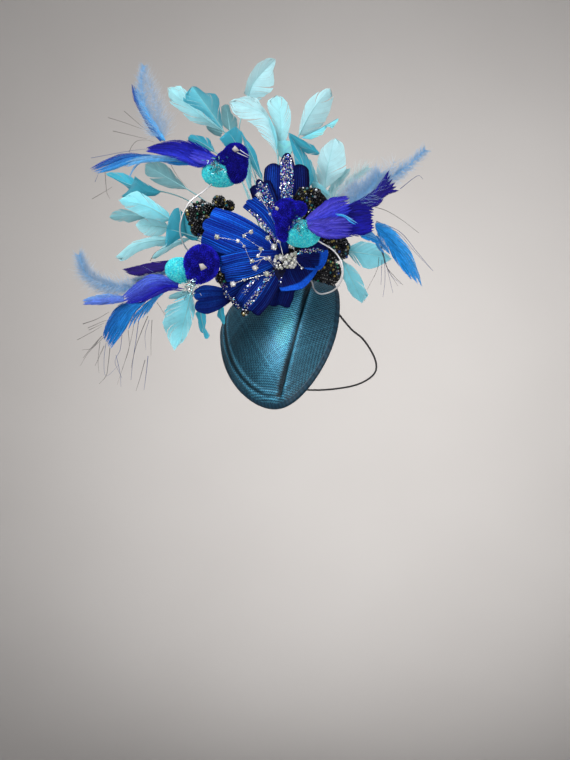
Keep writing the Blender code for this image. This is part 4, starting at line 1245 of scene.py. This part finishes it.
seed_form, gem_form = bead_form(1), bead_form(2)
jet = tinted(new_material("faceted_jet", 0.12, specular_ior_level=0.6, coat_weight=0.2,
                          coat_roughness=0.05), 200, 0.8)
felt = tinted(new_material("black_felt", 0.9, sheen_weight=0.2), 900, 0.5)
for number, (name, layer, tips, berries) in enumerate(BEADED_LEAVES):
    leaf_random = np.random.default_rng(300 + number)
    leaf_work = Bundle()
    root = petal_root(layer)
    for x, z, y, width in tips:
        tip = front(x, z, y)
        length = np.linalg.norm(tip - root)
        share = np.repeat(np.linspace(0, 1, LEAF_ROWS), LEAF_COLUMNS)
        across = np.tile(np.linspace(-1, 1, LEAF_COLUMNS), LEAF_ROWS)
        skins = []
        for side in (0.8, -0.8):
            places, facing, _ = petal_place(root, tip, width * LEAF_BEADED_SHARE, LEAF_ARCH, 0,
                                            share * (1 - LEAF_SWEEP * across**2), across)
            skins.append((places + facing * side).reshape(LEAF_ROWS, LEAF_COLUMNS, 3))
        around = np.concatenate([skins[0], skins[1][:, ::-1]], axis=1)
        skin(leaf_work, around, FELT_TINT, 1)
        for share_at in np.arange(0.12, 1.0, BEAD_PITCH * 0.86 / length):
            _, _, wide = petal_place(root, tip, width, LEAF_ARCH, 0, np.array([share_at]), np.array([0.0]))
            beads = max(2, int(wide[0] * LEAF_BEADED_SHARE / BEAD_PITCH))
            across = np.linspace(-LEAF_BEADED_SHARE, LEAF_BEADED_SHARE, beads)
            across = across + leaf_random.normal(0, 0.12 / beads, beads)
            share = np.full(beads, share_at) * (1 - LEAF_SWEEP * across**2)
            for side in (1.1, -1.1):
                places, facing, _ = petal_place(root, tip, width, LEAF_ARCH, 0, share, across)
                places = places + facing * (side + 0.2 * leaf_random.random((beads, 1)))
                tints = np.array(JET_TINTS)[leaf_random.integers(0, len(JET_TINTS), beads)]
                sizes = BEAD_RADIUS * leaf_random.uniform(0.85, 1.15, beads)
                scatter(leaf_work, seed_form, places, sizes, tints, leaf_random)
    for leaf, share, across, radius in berries:
        x, z, y, width = tips[leaf]
        middle, _, _ = petal_place(root, front(x, z, y), width, LEAF_ARCH, 0, np.array([share]),
                                   np.array([across]))
        sew_berry(leaf_work, middle, radius, leaf_random)
    leaf_work.piece("sewn_" + name, [jet, felt], "jet_beads", name, smooth=False)
berry_work = Bundle()
berry_random = np.random.default_rng(310)
for x, z, y, radius in LOOSE_BERRIES:
    sew_berry(berry_work, front(x, z, y)[None], radius, berry_random)
berry_work.piece("jet_berries", [jet, felt], "jet_beads", smooth=False)

# Crystal sprays
# Faceted champagne crystals on fine silver wire that is doubled and twisted. The sprays spread from
# the flower's heart, where a cluster of the same crystals hides their knots.
WIRE_TINT = (0.80, 0.80, 0.82)
WIRE_RADIUS = 0.16
WIRE_APART = 0.18
WIRE_TWIST = 2.2
SEEDS_ROUND_CRYSTAL = 7
SEED_RADIUS = 0.55
SEED_TINT = (0.7, 0.7, 0.72)
CRYSTAL_SQUASH = 0.86
HEART_CRYSTALS = 24
HEART_MIDDLE = np.array((4, -6, 6))
HEART_SIZE = (5.5, 3, 6.5)
CRYSTAL_TINTS = np.array(((0.85, 0.82, 0.74), (0.74, 0.72, 0.70), (0.90, 0.90, 0.88), (0.62, 0.64, 0.52)))
# name, knot x z y, branches of crystals x z y and radius
SPRAYS = (
    ("crystal_spray_left", (-6, 71, -54.5),
     (((-16, 81, -65, 1.3), (-30, 79, -67, 2.2), (-38, 94, -69, 1.0), (-44, 99, -70, 1.9),
       (-65, 103, -72, 2.6)),
      ((-13, 82, -64, 1.8), (-24, 84, -67, 1.6), (-21, 91, -67, 2.2), (-38, 104, -69, 1.6),
       (-31, 108, -70, 2.2)),
      ((-15, 66, -66, 2.8), (-26, 63, -67, 0.9), (-38, 60, -68, 1.3), (-49, 56, -70, 2.8)),
      ((-17, 82, -66, 1.4), (-27, 72, -66, 2.8)))),
    ("crystal_spray_middle", (4, 72, -54.5),
     (((9, 74, -62, 2.4), (4, 77, -66, 2.2)),
      ((-3, 99, -63, 2.2), (-8, 93, -67, 3.1), (-14, 102, -67, 2.4)),
      ((-4, 104, -63, 1.2), (-12, 126, -64, 1.2), (-23, 145, -66, 3.2)),
      ((13, 86, -62, 2.4), (9, 94, -64, 2.4)), ((-1, 82, -65, 2.6), (7, 82, -66, 2.6)),
      ((12, 80, -64, 2.2), (20, 72, -64, 1.0)))),
)
silver = tinted(new_material("silver_wire", 0.28, metallic=1.0), 300, 0.85)
crystal = tinted(new_material("champagne_crystal", 0.10, metallic=0.35, coat_weight=1.0,
                              coat_roughness=0.03), 500, 0.75)
for number, (name, knot, branches) in enumerate(SPRAYS):
    spray_random = np.random.default_rng(320 + number)
    spray_work = Bundle()
    start = front(*knot)
    for branch in branches:
        stops = [start, *(front(x, z, y) for x, z, y, _ in branch)]
        line = smooth_route(stops, 12) if len(stops) > 2 else np.linspace(stops[0], stops[1], 14)
        along = unit(np.gradient(line, axis=0))
        side = unit(np.cross(along, (0.3, 0.2, 0.9)))
        up = np.cross(along, side)
        run = np.concatenate([[0], np.cumsum(np.linalg.norm(np.diff(line, axis=0), axis=1))])
        turn = run[:, None] * WIRE_TWIST
        for half in (0, math.pi):
            strand = line + WIRE_APART * (side * np.cos(turn + half) + up * np.sin(turn + half))
            spray_work.tube(strand, WIRE_RADIUS, WIRE_TINT, 4, 1)
        for x, z, y, radius in branch:
            tint = CRYSTAL_TINTS[spray_random.integers(0, len(CRYSTAL_TINTS))]
            scatter(spray_work, gem_form, [front(x, z, y)], radius, tint, spray_random, 0, CRYSTAL_SQUASH)
            ring = front(x, z, y) + on_ball(SEEDS_ROUND_CRYSTAL, spray_random) * radius * 1.05
            scatter(spray_work, seed_form, ring, SEED_RADIUS, SEED_TINT, spray_random)
    heart = start + HEART_MIDDLE + on_ball(HEART_CRYSTALS, spray_random) * HEART_SIZE
    tints = CRYSTAL_TINTS[spray_random.integers(0, len(CRYSTAL_TINTS), HEART_CRYSTALS)]
    sizes = spray_random.uniform(0.9, 2.2, HEART_CRYSTALS)
    scatter(spray_work, gem_form, heart, sizes, tints, spray_random, 0, CRYSTAL_SQUASH)
    spray_work.piece("twisted_" + name, [crystal, silver], "crystal", name, smooth=False)

# Bird wires
# Thick bright silver craft wire, curled by hand. One end is bound into the pad, and the other is
# pushed into a bird and holds it away from the flower.
BIRD_WIRE_RADIUS = 0.75
BIRD_WIRE_TINT = (0.86, 0.85, 0.86)
BIRD_WIRES = (
    ("bird_wire_left", (
        (-66, 160, -38), (-78, 149, -47), (-93, 137, -49), (-101, 120, -46), (-101, 103, -38),
        (-92, 88, -30), (-70, 78, -26), (-40, 71, -25), (-10, 64, -24))),
    ("bird_wire_right", (
        (28, 104, -82), (38, 98, -84), (52, 89, -85), (60, 76, -84), (60, 61, -80), (52, 50, -74),
        (39, 46, -65), (32, 51, -51), (29, 59, -40), (18, 62, -37), (4, 63, -36))),
    ("bird_wire_low", (
        (-98, 66, -50), (-84, 65, -38), (-60, 68, -31), (-30, 69, -28), (-8, 65, -26))),
)
bright_wire = tinted(new_material("bright_wire", 0.3, metallic=0.55, specular_ior_level=0.8), 400, 0.9)
for name, places in BIRD_WIRES:
    wire_work = Bundle()
    route = smooth_route([front(*place) for place in places], 10)
    wire_work.tube(route, BIRD_WIRE_RADIUS, BIRD_WIRE_TINT, 12)
    wire_work.piece("curled_" + name, [bright_wire], "silver_wire", name)

# Birds
# Craft birds of moulded foam. The head and breast are flocked with royal blue pile and the belly is
# coated in turquoise crumb. A tuft of tinsel covers the joint, and the beak is a folded paper kite.
FOAM_VOXEL = 1.08
PILE_COATS = 2
PILE_LENGTH = 1.6
PILE_WIDTH = 0.9
CRUMBS = 1700
TINSEL_STRIPS = 150
# Each bird's pile value dims its whole flock: painted shade, deepest on the left bird.
BIRDS = {
    "bird_left": {
        "body": ((-61, 166.5, -38), (13.5, 13, 18.5), (-1, 0.15, 0.05)),
        "balls": (((-46.5, 184, -43), (12, 12, 12)), ((-56, 179, -42), (9.5, 11, 9)),
                  ((-46.5, 170, -43), (11, 13, 12.5)), ((-46.5, 177, -43), (11.8, 12.5, 11))),
        "kite": ((-50, 191), (-47, 194.5), (-42.5, 189.5), (-47.5, 188)),
        "needles": (((-42, 190), (-33, 184)), ((-45, 187.5), (-34, 182.5))),
        "face": -56,
        "pile": 0.45,
        "tinsel": (-67.5, 175, -54),
    },
    "bird_right": {
        "body": ((19.5, 106.5, -84), (12.5, 12.5, 17.5), (1, 0.1, -0.05)),
        "balls": (((4.5, 127, -86), (12.5, 13, 13)), ((5, 115, -86), (10.5, 11, 11)),
                  ((17, 131, -84), (7, 9, 6.5)), ((3, 107, -86), (7.5, 9, 8))),
        "kite": ((-7, 131), (-6, 134), (-3, 132), (-4.5, 129.5)),
        "needles": (((-5, 132), (-9, 134)),),
        "face": -98,
        "pile": 0.8,
        "tinsel": (17, 115.5, -100),
    },
    "bird_low": {
        "body": ((-102, 69.5, -54), (12.5, 12, 14), (-1, 0, 0.3)),
        "balls": (((-80.5, 76.5, -64), (16.5, 14, 17.5)), ((-84, 68, -62), (12, 11, 11))),
        "kite": ((-83, 76), (-79, 76.5), (-75, 72.5), (-81, 69.5)),
        "needles": (),
        "face": -80.5,
        "pile": 1.0,
        "tinsel": (-92, 53, -70),
    },
}
PILE_ROYAL = np.array((0.032, 0.032, 1.0))
PILE_DARK = np.array((0.008, 0.006, 0.30))
CRUMB_TINTS = np.array(((0.02, 0.86, 0.97), (0.05, 0.95, 1.0), (0.01, 0.70, 0.88), (0.16, 0.97, 1.0)))
TINSEL_TINTS = np.array(((0.75, 0.80, 0.82), (0.10, 0.55, 0.58), (0.02, 0.20, 0.26), (0.45, 0.75, 0.76),
                         (0.03, 0.05, 0.10)))
PAPER_TINT = (0.50, 0.47, 0.46)
NEEDLE_TINT = (0.62, 0.64, 0.72)
KITE_FACES = [[0, 1, 8], [1, 2, 8], [2, 3, 8], [3, 0, 8], [7, 6, 5, 4], [0, 4, 5, 1], [1, 5, 6, 2],
              [2, 6, 7, 3], [3, 7, 4, 0]]

pile = tinted(new_material("royal_flock", 0.9, sheen_weight=0.12, sheen_roughness=0.5,
                           sheen_tint=(0.2, 0.2, 1.0), specular_ior_level=0.1), 700, 0.65)
crumb = tinted(new_material("turquoise_crumb", 0.75, sheen_weight=0.2), 900, 0.75)
tinsel = tinted(new_material("tinsel", 0.2, metallic=0.8), 300, 0.9)
kite_paper = tinted(new_material("kite_paper", 0.7), 400, 0.85)
crumb_form = (np.array(((1, 0, 0), (-1, 0, 0), (0, 1, 0), (0, -1, 0), (0, 0, 1), (0, 0, -1)), float),
              [[0, 2, 4], [2, 1, 4], [1, 3, 4], [3, 0, 4], [2, 0, 5], [1, 2, 5], [3, 1, 5], [0, 3, 5]])


def moulded(balls):
    """Foam balls pressed into one form, as points and faces in millimetres with their normals."""
    bpy.ops.object.select_all(action="DESELECT")
    made = []
    for middle, sizes in balls:
        bpy.ops.mesh.primitive_uv_sphere_add(segments=32, ring_count=20, radius=1, location=(0, 0, 0))
        ball = bpy.context.object
        places = places_of(ball.data) * sizes + middle
        ball.data.vertices.foreach_set("co", (places * MM).ravel())
        made.append(ball)
    for ball in made:
        ball.select_set(True)
    bpy.context.view_layer.objects.active = made[0]
    bpy.ops.object.join()
    apply_modifier(made[0], "REMESH", mode="VOXEL", voxel_size=FOAM_VOXEL * MM)
    apply_modifier(made[0], "SMOOTH", factor=0.5, iterations=10)
    mesh = made[0].data
    points = places_of(mesh) / MM
    normals = np.array([tuple(vertex.normal) for vertex in mesh.vertices])
    faces = [list(face.vertices) for face in mesh.polygons]
    bpy.data.objects.remove(made[0], do_unlink=True)
    return points, faces, normals


def fur(bundle, points, normals, length, width, tint, random, finish=0):
    """Short pile that stands out all over a form."""
    count = len(points)
    way = unit(normals + random.normal(0, 0.45, (count, 3)))
    side = unit(np.cross(way, random.normal(size=(count, 3)))) * width / 2
    reach = length * random.uniform(0.6, 1.2, (count, 1))
    marks = np.array((0, 0.6, 1.0))[None, :, None]
    line = points[:, None] - normals[:, None] * 0.2 + (way * reach)[:, None] * marks
    half = side[:, None] * (1 - 0.75 * marks)
    bundle.strips(line - half, line + half, tint[:, None] * np.ones((1, 3, 1)), finish)


for number, (bird, parts) in enumerate(BIRDS.items()):
    bird_random = np.random.default_rng(400 + number)
    head_work = Bundle()
    points, faces, normals = moulded([(front(*middle), sizes) for middle, sizes in parts["balls"]])
    x, y, z = points.T
    cloud = np.sin(x * 0.5 + 1) * np.sin(z * 0.43) + 0.6 * np.sin(y * 0.7 + x * 0.3)
    light = np.clip(0.55 + 0.45 * cloud, 0, 1)[:, None]
    head_work.add(points, faces, PILE_DARK * 0.6)
    for coat in range(PILE_COATS):
        # The mix of dark and royal pile carries each bird's painted shade.
        shade = np.clip(light + bird_random.normal(0, 0.3, (len(points), 1)), 0, 1.2) * parts["pile"]
        tints = PILE_DARK * (1 - shade) + PILE_ROYAL * shade
        fur(head_work, points, normals, PILE_LENGTH, PILE_WIDTH, tints, bird_random)
    kite = [front(x, z, parts["face"]) for x, z in parts["kite"]]
    kite += [place + (0, 2.5, 0) for place in kite]
    kite += [np.mean(kite[:4], axis=0) - (0, 2.2, 0)]
    head_work.add(kite, KITE_FACES, PAPER_TINT, 1)
    for start, end in parts["needles"]:
        needle = front_line((start, end), (parts["face"] + 1, parts["face"] - 3), 6)[1]
        head_work.tube(needle, np.linspace(0.5, 0.2, len(needle)), NEEDLE_TINT, 5, 1)
    head_work.piece("flocked_" + bird + "_head", [pile, kite_paper], "bird_velvet", bird + "_head")

    body_work = Bundle()
    middle, sizes, axis = parts["body"]
    middle, axis = front(*middle), unit(np.array(axis, float))
    across = unit(np.cross(axis, (0, 0, 1.0)))
    frame_of_body = np.stack([across, np.cross(axis, across), axis])
    spots = on_ball(CRUMBS, bird_random)
    shell = (spots * sizes) @ frame_of_body + middle
    core = (gem_form[0] * (np.array(sizes) - 0.5)) @ frame_of_body + middle
    body_work.add(core, gem_form[1], CRUMB_TINTS[2] * 0.9)
    tones = CRUMB_TINTS[bird_random.integers(0, len(CRUMB_TINTS), CRUMBS)]
    scatter(body_work, crumb_form, shell, bird_random.uniform(0.6, 1.05, CRUMBS), tones, bird_random)
    body_work.piece("crumbed_" + bird + "_body", [crumb], "bird_crumb", bird + "_body", smooth=False)

    tuft_work = Bundle()
    starts = front(*parts["tinsel"]) + bird_random.normal(0, 1, (TINSEL_STRIPS, 3)) * (4.0, 2.0, 4.2)
    ways = unit(bird_random.normal(size=(TINSEL_STRIPS, 3)) * (1, 0.6, 1))
    marks = np.linspace(0, 1, 3)[None, :, None]
    reach = bird_random.uniform(1.6, 3.6, (TINSEL_STRIPS, 1))
    line = starts[:, None] + (ways * reach)[:, None] * marks
    half = unit(np.cross(ways, bird_random.normal(size=(TINSEL_STRIPS, 3))))[:, None] * 0.28
    tones = TINSEL_TINTS[bird_random.integers(0, len(TINSEL_TINTS), TINSEL_STRIPS)]
    tones = tones[:, None] * np.ones((1, 3, 1))
    tuft_work.strips(line - half, line + half, tones)
    tuft_work.piece(bird + "_tinsel", [tinsel], "bird_crumb", smooth=False)

# Birds' feathers
# Trimmed goose and cock feathers glued to each bird as wings and tail, royal blue and azure, with
# loose pale marabou and a few long stripped barbs that stand out from them.
ROYAL_DARK = (0.005, 0.004, 0.21)
ROYAL = (0.006, 0.006, 0.38)
ROYAL_BRIGHT = (0.030, 0.045, 0.66)
INDIGO = (0.018, 0.006, 0.16)
VIOLET = (0.10, 0.085, 0.66)
PERIWINKLE = (0.10, 0.19, 0.68)
AZURE = (0.010, 0.27, 0.76)
AZURE_DEEP = (0.006, 0.11, 0.42)
AZURE_CLEAR = (0.07, 0.40, 0.84)
SKY = (0.17, 0.41, 0.72)
PALE_BLUE = (0.34, 0.48, 0.66)
PALE_GREY = (0.46, 0.52, 0.60)
STRAND_DARK = (0.10, 0.09, 0.09)
STRAND_BLUE = (0.05, 0.08, 0.24)
STRAND_DARK_SHARE = 0.65
STRAND_DEPTH_SHARE = 0.7
VANE_PROFILE = (0.3, 0.75, 0.95, 1.0, 0.92, 0.62, 0.0)
BIRD_BARBS = {"spacing": 0.42, "reach": 0.24, "splits": 0.02, "ragged": 0.16, "clump": 5, "mottle": 0.16,
              "cup": 0.2, "places": 5}

royal_feather = tinted(new_material("royal_feather", 0.5, sheen_weight=0.01, sheen_roughness=0.4,
                                    sheen_tint=(0.4, 0.45, 1.0), specular_ior_level=0.12), 400, 0.75)
azure_feather = tinted(new_material("azure_feather", 0.5, sheen_weight=0.03, sheen_roughness=0.4,
                                    sheen_tint=(0.6, 0.8, 1.0), specular_ior_level=0.15), 400, 0.8)

# Groups of lapped feathers: upper quill, lower quill, depths, count, half width, tones above, tones below
WINGS = {
    "bird_left": (
        (((-65, 182), (-80, 190), (-95, 196), (-113, 196), (-138, 192)),
         ((-67, 176), (-84, 175), (-97, 181), (-113, 186), (-139, 189)), (-42, -46), 8, 3.9,
         (ROYAL, ROYAL_DARK), (ROYAL_BRIGHT, ROYAL)),
        (((-66, 182), (-79, 187), (-92, 191)), ((-67, 177), (-81, 178), (-95, 184)), (-47, -49), 4, 2.4,
         (ROYAL_BRIGHT, ROYAL), (VIOLET, ROYAL_BRIGHT)),
    ),
    "bird_right": (
        (((48, 128), (62, 129), (78, 131), (93, 130)), ((52, 110), (65, 107), (80, 108), (93, 110)),
         (-86, -84), 9, 4.2, (ROYAL_DARK, ROYAL_DARK), (ROYAL, ROYAL_DARK)),
        (((66, 134), (84, 141), (97, 151), (108, 172)), ((76, 131), (92, 136), (104, 147), (118, 149.5)),
         (-80, -74), 6, 3.4, (ROYAL_DARK, ROYAL_DARK), (ROYAL_DARK, INDIGO)),
        (((25, 121), (38, 131), (50, 139), (68, 145)), ((25, 117), (40, 120), (55, 125), (72, 131)),
         (-92, -90), 6, 4.6, (VIOLET, ROYAL), (ROYAL_BRIGHT, ROYAL)),
        (((25, 117), (40, 118), (55, 120), (74, 122)), ((26, 113), (38, 107), (52, 104), (72, 104)),
         (-96, -94), 7, 4.4, (VIOLET, ROYAL_DARK), (VIOLET, ROYAL)),
    ),
    "bird_low": (
        (((-99, 81), (-115, 77), (-130, 75.5), (-145, 72.5), (-162, 70.5)),
         ((-108, 74), (-120, 71), (-132, 68.5), (-143, 66.5), (-156, 66)), (-50, -52), 7, 3.2,
         (INDIGO, INDIGO), (INDIGO, INDIGO)),
        (((-103, 57), (-118, 63), (-132, 62), (-147, 53), (-163, 41)),
         ((-104, 53), (-116, 52), (-128, 47), (-140, 40), (-157, 35)), (-58, -60), 8, 3.4,
         (PERIWINKLE, ROYAL_BRIGHT), (ROYAL, ROYAL)),
        (((-98, 51.5), (-112, 52), (-125, 47), (-142, 38)),
         ((-100, 50), (-113, 50), (-126, 45), (-143, 35)), (-61, -62), 2, 1.4, (ROYAL_DARK, ROYAL),
         (ROYAL_DARK, ROYAL)),
    ),
}
TAILS = {
    "bird_left": (
        (((-88, 181), (-110, 182), (-135, 183.5), (-158, 184.5), (-178, 178), (-195, 169.5)),
         ((-88, 176), (-105, 177), (-128, 181), (-148, 179), (-167, 172), (-188, 165.5)), (-30, -24), 7,
         2.5, (ROYAL, AZURE_DEEP), (AZURE, AZURE_CLEAR)),
        (((-100, 182), (-120, 183), (-140, 182), (-160, 177)),
         ((-100, 179), (-120, 180), (-142, 179), (-158, 172)), (-33, -30), 3, 2.0, (SKY, SKY),
         (AZURE_CLEAR, SKY)),
        (((-136, 181), (-146, 174), (-155, 160)), ((-138, 180), (-148, 172), (-153, 160)), (-28, -26), 2,
         1.0, (SKY, SKY), (SKY, SKY)),
        (((-120, 199), (-130, 212), (-139, 227), (-146, 241), (-151, 258)),
         ((-117, 200), (-126, 212), (-135, 226), (-141, 240), (-144, 252)), (-30, -12), 4, 3.0,
         (AZURE_DEEP, INDIGO), (AZURE_CLEAR, SKY)),
    ),
    "bird_right": (
        (((94, 117), (107, 108), (124, 88), (141, 51)), ((94, 112), (103, 101), (115, 83), (132, 57)),
         (-68, -60), 4, 5.2, (AZURE, AZURE_CLEAR), (AZURE, AZURE)),
        (((78, 106), (88, 106), (97, 99)), ((79, 103), (88, 101), (98, 96)), (-70, -70), 3, 2.6,
         (SKY, AZURE), (AZURE, AZURE)),
        (((94, 104), (101, 94), (109, 85)), ((92, 100), (98, 92), (103, 86)), (-66, -66), 2, 2.0,
         (AZURE_DEEP, AZURE_CLEAR), (AZURE, SKY)),
        (((54, 126), (62, 125), (70, 120.5), (77, 115.5)), ((55, 125), (62, 123.5), (69, 119), (75, 115)),
         (-102, -100), 2, 0.8, (AZURE_CLEAR, SKY), (AZURE, AZURE_CLEAR)),
    ),
    "bird_low": (
        (((-148, 37), (-162, 33), (-173, 18), (-180, 1)), ((-136, 39), (-147, 29), (-158, 12), (-174, -12)),
         (-44, -38), 9, 2.7, (AZURE_DEEP, AZURE_DEEP), (AZURE, AZURE_DEEP)),
        (((-126, 45), (-138, 34), (-148, 22), (-155, 8)), ((-112, 53), (-124, 43), (-131, 33), (-137, 23)),
         (-48, -46), 5, 1.3, (AZURE, AZURE_DEEP), (AZURE_CLEAR, AZURE)),
        (((-158, 43), (-178, 43), (-202, 40)), ((-158, 39), (-177, 38), (-200, 35)), (-46, -42), 4, 3.2,
         (PERIWINKLE, SKY), (PERIWINKLE, PERIWINKLE)),
    ),
}
# Marabou: stops, depths, reach, hairs, tone at the quill, tone at the tips
MARABOU = {
    "bird_left": (
        (((-124, 203), (-131, 218), (-138, 238), (-141, 258), (-138, 274)), (-28, -8), 13, 900, SKY,
         PALE_BLUE),
        (((-119, 201), (-122, 218), (-129, 242), (-136, 266)), (-26, -12), 21, 620, PALE_BLUE, PALE_GREY),
        (((-117, 199), (-126, 212), (-135, 228), (-143, 248)), (-27, -14), 6, 260, SKY, PALE_BLUE),
    ),
    "bird_right": (
        (((92, 148), (110, 163), (127, 175), (143, 190)), (-66, -56), 14, 800, SKY, PALE_BLUE),
        (((96, 152), (104, 163), (112, 178)), (-68, -64), 26, 70, PALE_BLUE, PALE_GREY),
        (((68, 136), (80, 145), (90, 155), (98, 166)), (-76, -66), 22, 1200, SKY, PALE_BLUE),
        (((58, 138), (66, 148), (74, 156)), (-76, -70), 14, 460, PALE_BLUE, PALE_GREY),
    ),
    "bird_low": (
        (((-118, 62), (-140, 54), (-165, 52), (-182, 57), (-196, 67), (-203, 85)), (-46, -32), 16, 1900,
         SKY, PALE_BLUE),
        (((-115, 68), (-130, 64), (-148, 60)), (-46, -44), 9, 480, SKY, PALE_BLUE),
        (((-150, 54), (-178, 56), (-194, 64), (-201, 78)), (-42, -32), 22, 420, PALE_BLUE, PALE_GREY),
    ),
}
# Long bare barbs, as they appear from the front
STRANDS = {
    "bird_left": (
        ((-174, 222.5), (-158, 217.5), (-140, 211)),
        ((-158, 229), (-143, 216), (-128, 203)),
        ((-169, 209), (-135, 201)),
        ((-153, 188), (-150, 194), (-145, 199), (-136, 200), (-128, 198)),
        ((-191, 182), (-153, 189), (-135, 191)),
        ((-177, 168), (-176, 155), (-175, 147), (-172, 141)),
        ((-190, 141), (-178, 148), (-170, 153)),
        ((-187, 158), (-183, 168)),
        ((-111, 175), (-104, 163), (-94, 152)),
    ),
    "bird_right": (
        ((93, 133), (105, 129), (120, 120), (137, 107)),
        ((118, 151), (135, 164), (141, 161)),
        ((95, 107), (100, 92), (105, 72), (116, 54)),
        ((94, 105), (101, 88), (106, 68), (111, 47)),
        ((96, 105), (102, 80), (103, 60), (101, 43)),
        ((97, 100), (104, 75), (112, 64), (121, 55)),
        ((95, 103), (101, 84), (109, 65), (119, 56)),
        ((94, 119), (118, 108), (135, 88), (151, 69)),
        ((94, 117), (116, 107), (131, 90), (149, 71)),
        ((97, 83), (95, 70), (85, 50)),
        ((100, 80), (99, 55)),
    ),
    "bird_low": (
        ((-199, 16), (-185, 21), (-173, 28)),
        ((-194, 12), (-183, 17), (-175, 20)),
        ((-193, 10), (-178, 17)),
        ((-205, 0), (-190, 8), (-180, 14)),
        ((-180, 4), (-190, -7), (-199, -18)),
        ((-178, 3), (-193, -12), (-202, -26)),
        ((-182, 2), (-190, -8), (-200, -10)),
        ((-147, 25), (-150, 5), (-156, -18), (-165, -45)),
        ((-143, 22), (-146, 0), (-149, -20), (-151, -40)),
        ((-134, 24), (-142, 5), (-147, -10), (-151, -28)),
        ((-133, 20), (-137, 5), (-136, -10)),
        ((-134, -16), (-136, -35), (-138, -50)),
        ((-166, -15), (-162, -33), (-161, -47)),
        ((-172, -8), (-174, -25), (-176, -36), (-183, -44)),
        ((-176, -3), (-178, -20), (-176, -36), (-163, -25)),
        ((-182, -2), (-184, -20), (-183, -33)),
        ((-137, -20), (-142, -38), (-146, -51)),
        ((-130, 20), (-131, 0), (-131, -16)),
        ((-160, 5), (-162, -10), (-167, -22), (-160, -38)),
        ((-125, 37.5), (-120, 30), (-115, 21)),
        ((-178, -6), (-182, -15), (-187, -26)),
        ((-154, 10), (-153, -8), (-160, -30)),
        ((-132, 79), (-126, 88), (-112, 95)),
    ),
}


def lapped(bundle, group, random):
    """Feathers laid side by side between an upper and a lower quill, each a little over the last."""
    upper, lower, depths, count, half, tones_above, tones_below = group
    upper, lower = np.array(upper, float), np.array(lower, float)
    for index in range(count):
        share = index / max(1, count - 1)
        stops = upper * (1 - share) + lower * share + random.normal(0, 0.35, upper.shape)
        stops[-1] += (stops[-2] - stops[-1]) * random.uniform(0, 0.1)
        lap = 0.5 * index - 0.25 * count
        flat, line = front_line(stops, (depths[0] - lap * 0.5, depths[1] - lap))
        profile = smooth_route(np.array(VANE_PROFILE)[:, None], 8)[:, 0]
        widths = np.interp(np.linspace(0, 1, len(line)), np.linspace(0, 1, len(profile)), profile)
        widths = np.maximum(0, widths) * half * random.uniform(0.85, 1.15)
        tone = [np.array(above) * (1 - share) + np.array(below) * share
                for above, below in zip(tones_above, tones_below)]
        vane(bundle, hang(line, random.normal(0, 8)), (widths, widths), tone, random, **BIRD_BARBS)
        bundle.tube(line[:-1], 0.22 * np.linspace(1, 0.3, len(line) - 1), tone[0] * 1.3, 4)


for number, bird in enumerate(BIRDS):
    wing_random = np.random.default_rng(500 + number)
    strand_depth = BIRDS[bird]["body"][0][2] * STRAND_DEPTH_SHARE
    for part, groups, finish, slot in (("wing", WINGS, royal_feather, "royal_feather"),
                                       ("tail", TAILS, azure_feather, "azure_feather")):
        plume_work = Bundle()
        for group in groups[bird]:
            lapped(plume_work, group, wing_random)
        if part == "tail":
            for stops, depths, reach, count, root_tone, tip_tone in MARABOU[bird]:
                fluff(plume_work, stops, depths, reach, count, (root_tone, tip_tone), wing_random)
                soft_line = front_line(stops, depths)[1]
                plume_work.tube(soft_line, np.linspace(0.3, 0.1, len(soft_line)), root_tone, 4)
            for stops in STRANDS[bird]:
                depths = (strand_depth + wing_random.normal(0, 3), strand_depth + wing_random.normal(0, 5))
                strand = front_line(stops, depths, 8)[1]
                tint = STRAND_DARK if wing_random.random() < STRAND_DARK_SHARE else STRAND_BLUE
                sizes = wing_random.uniform(0.17, 0.28) * np.linspace(1.2, 0.5, len(strand))
                plume_work.tube(strand, sizes, tint, 4)
        plume_work.piece("trimmed_" + bird + "_" + part, [finish], slot, bird + "_" + part)
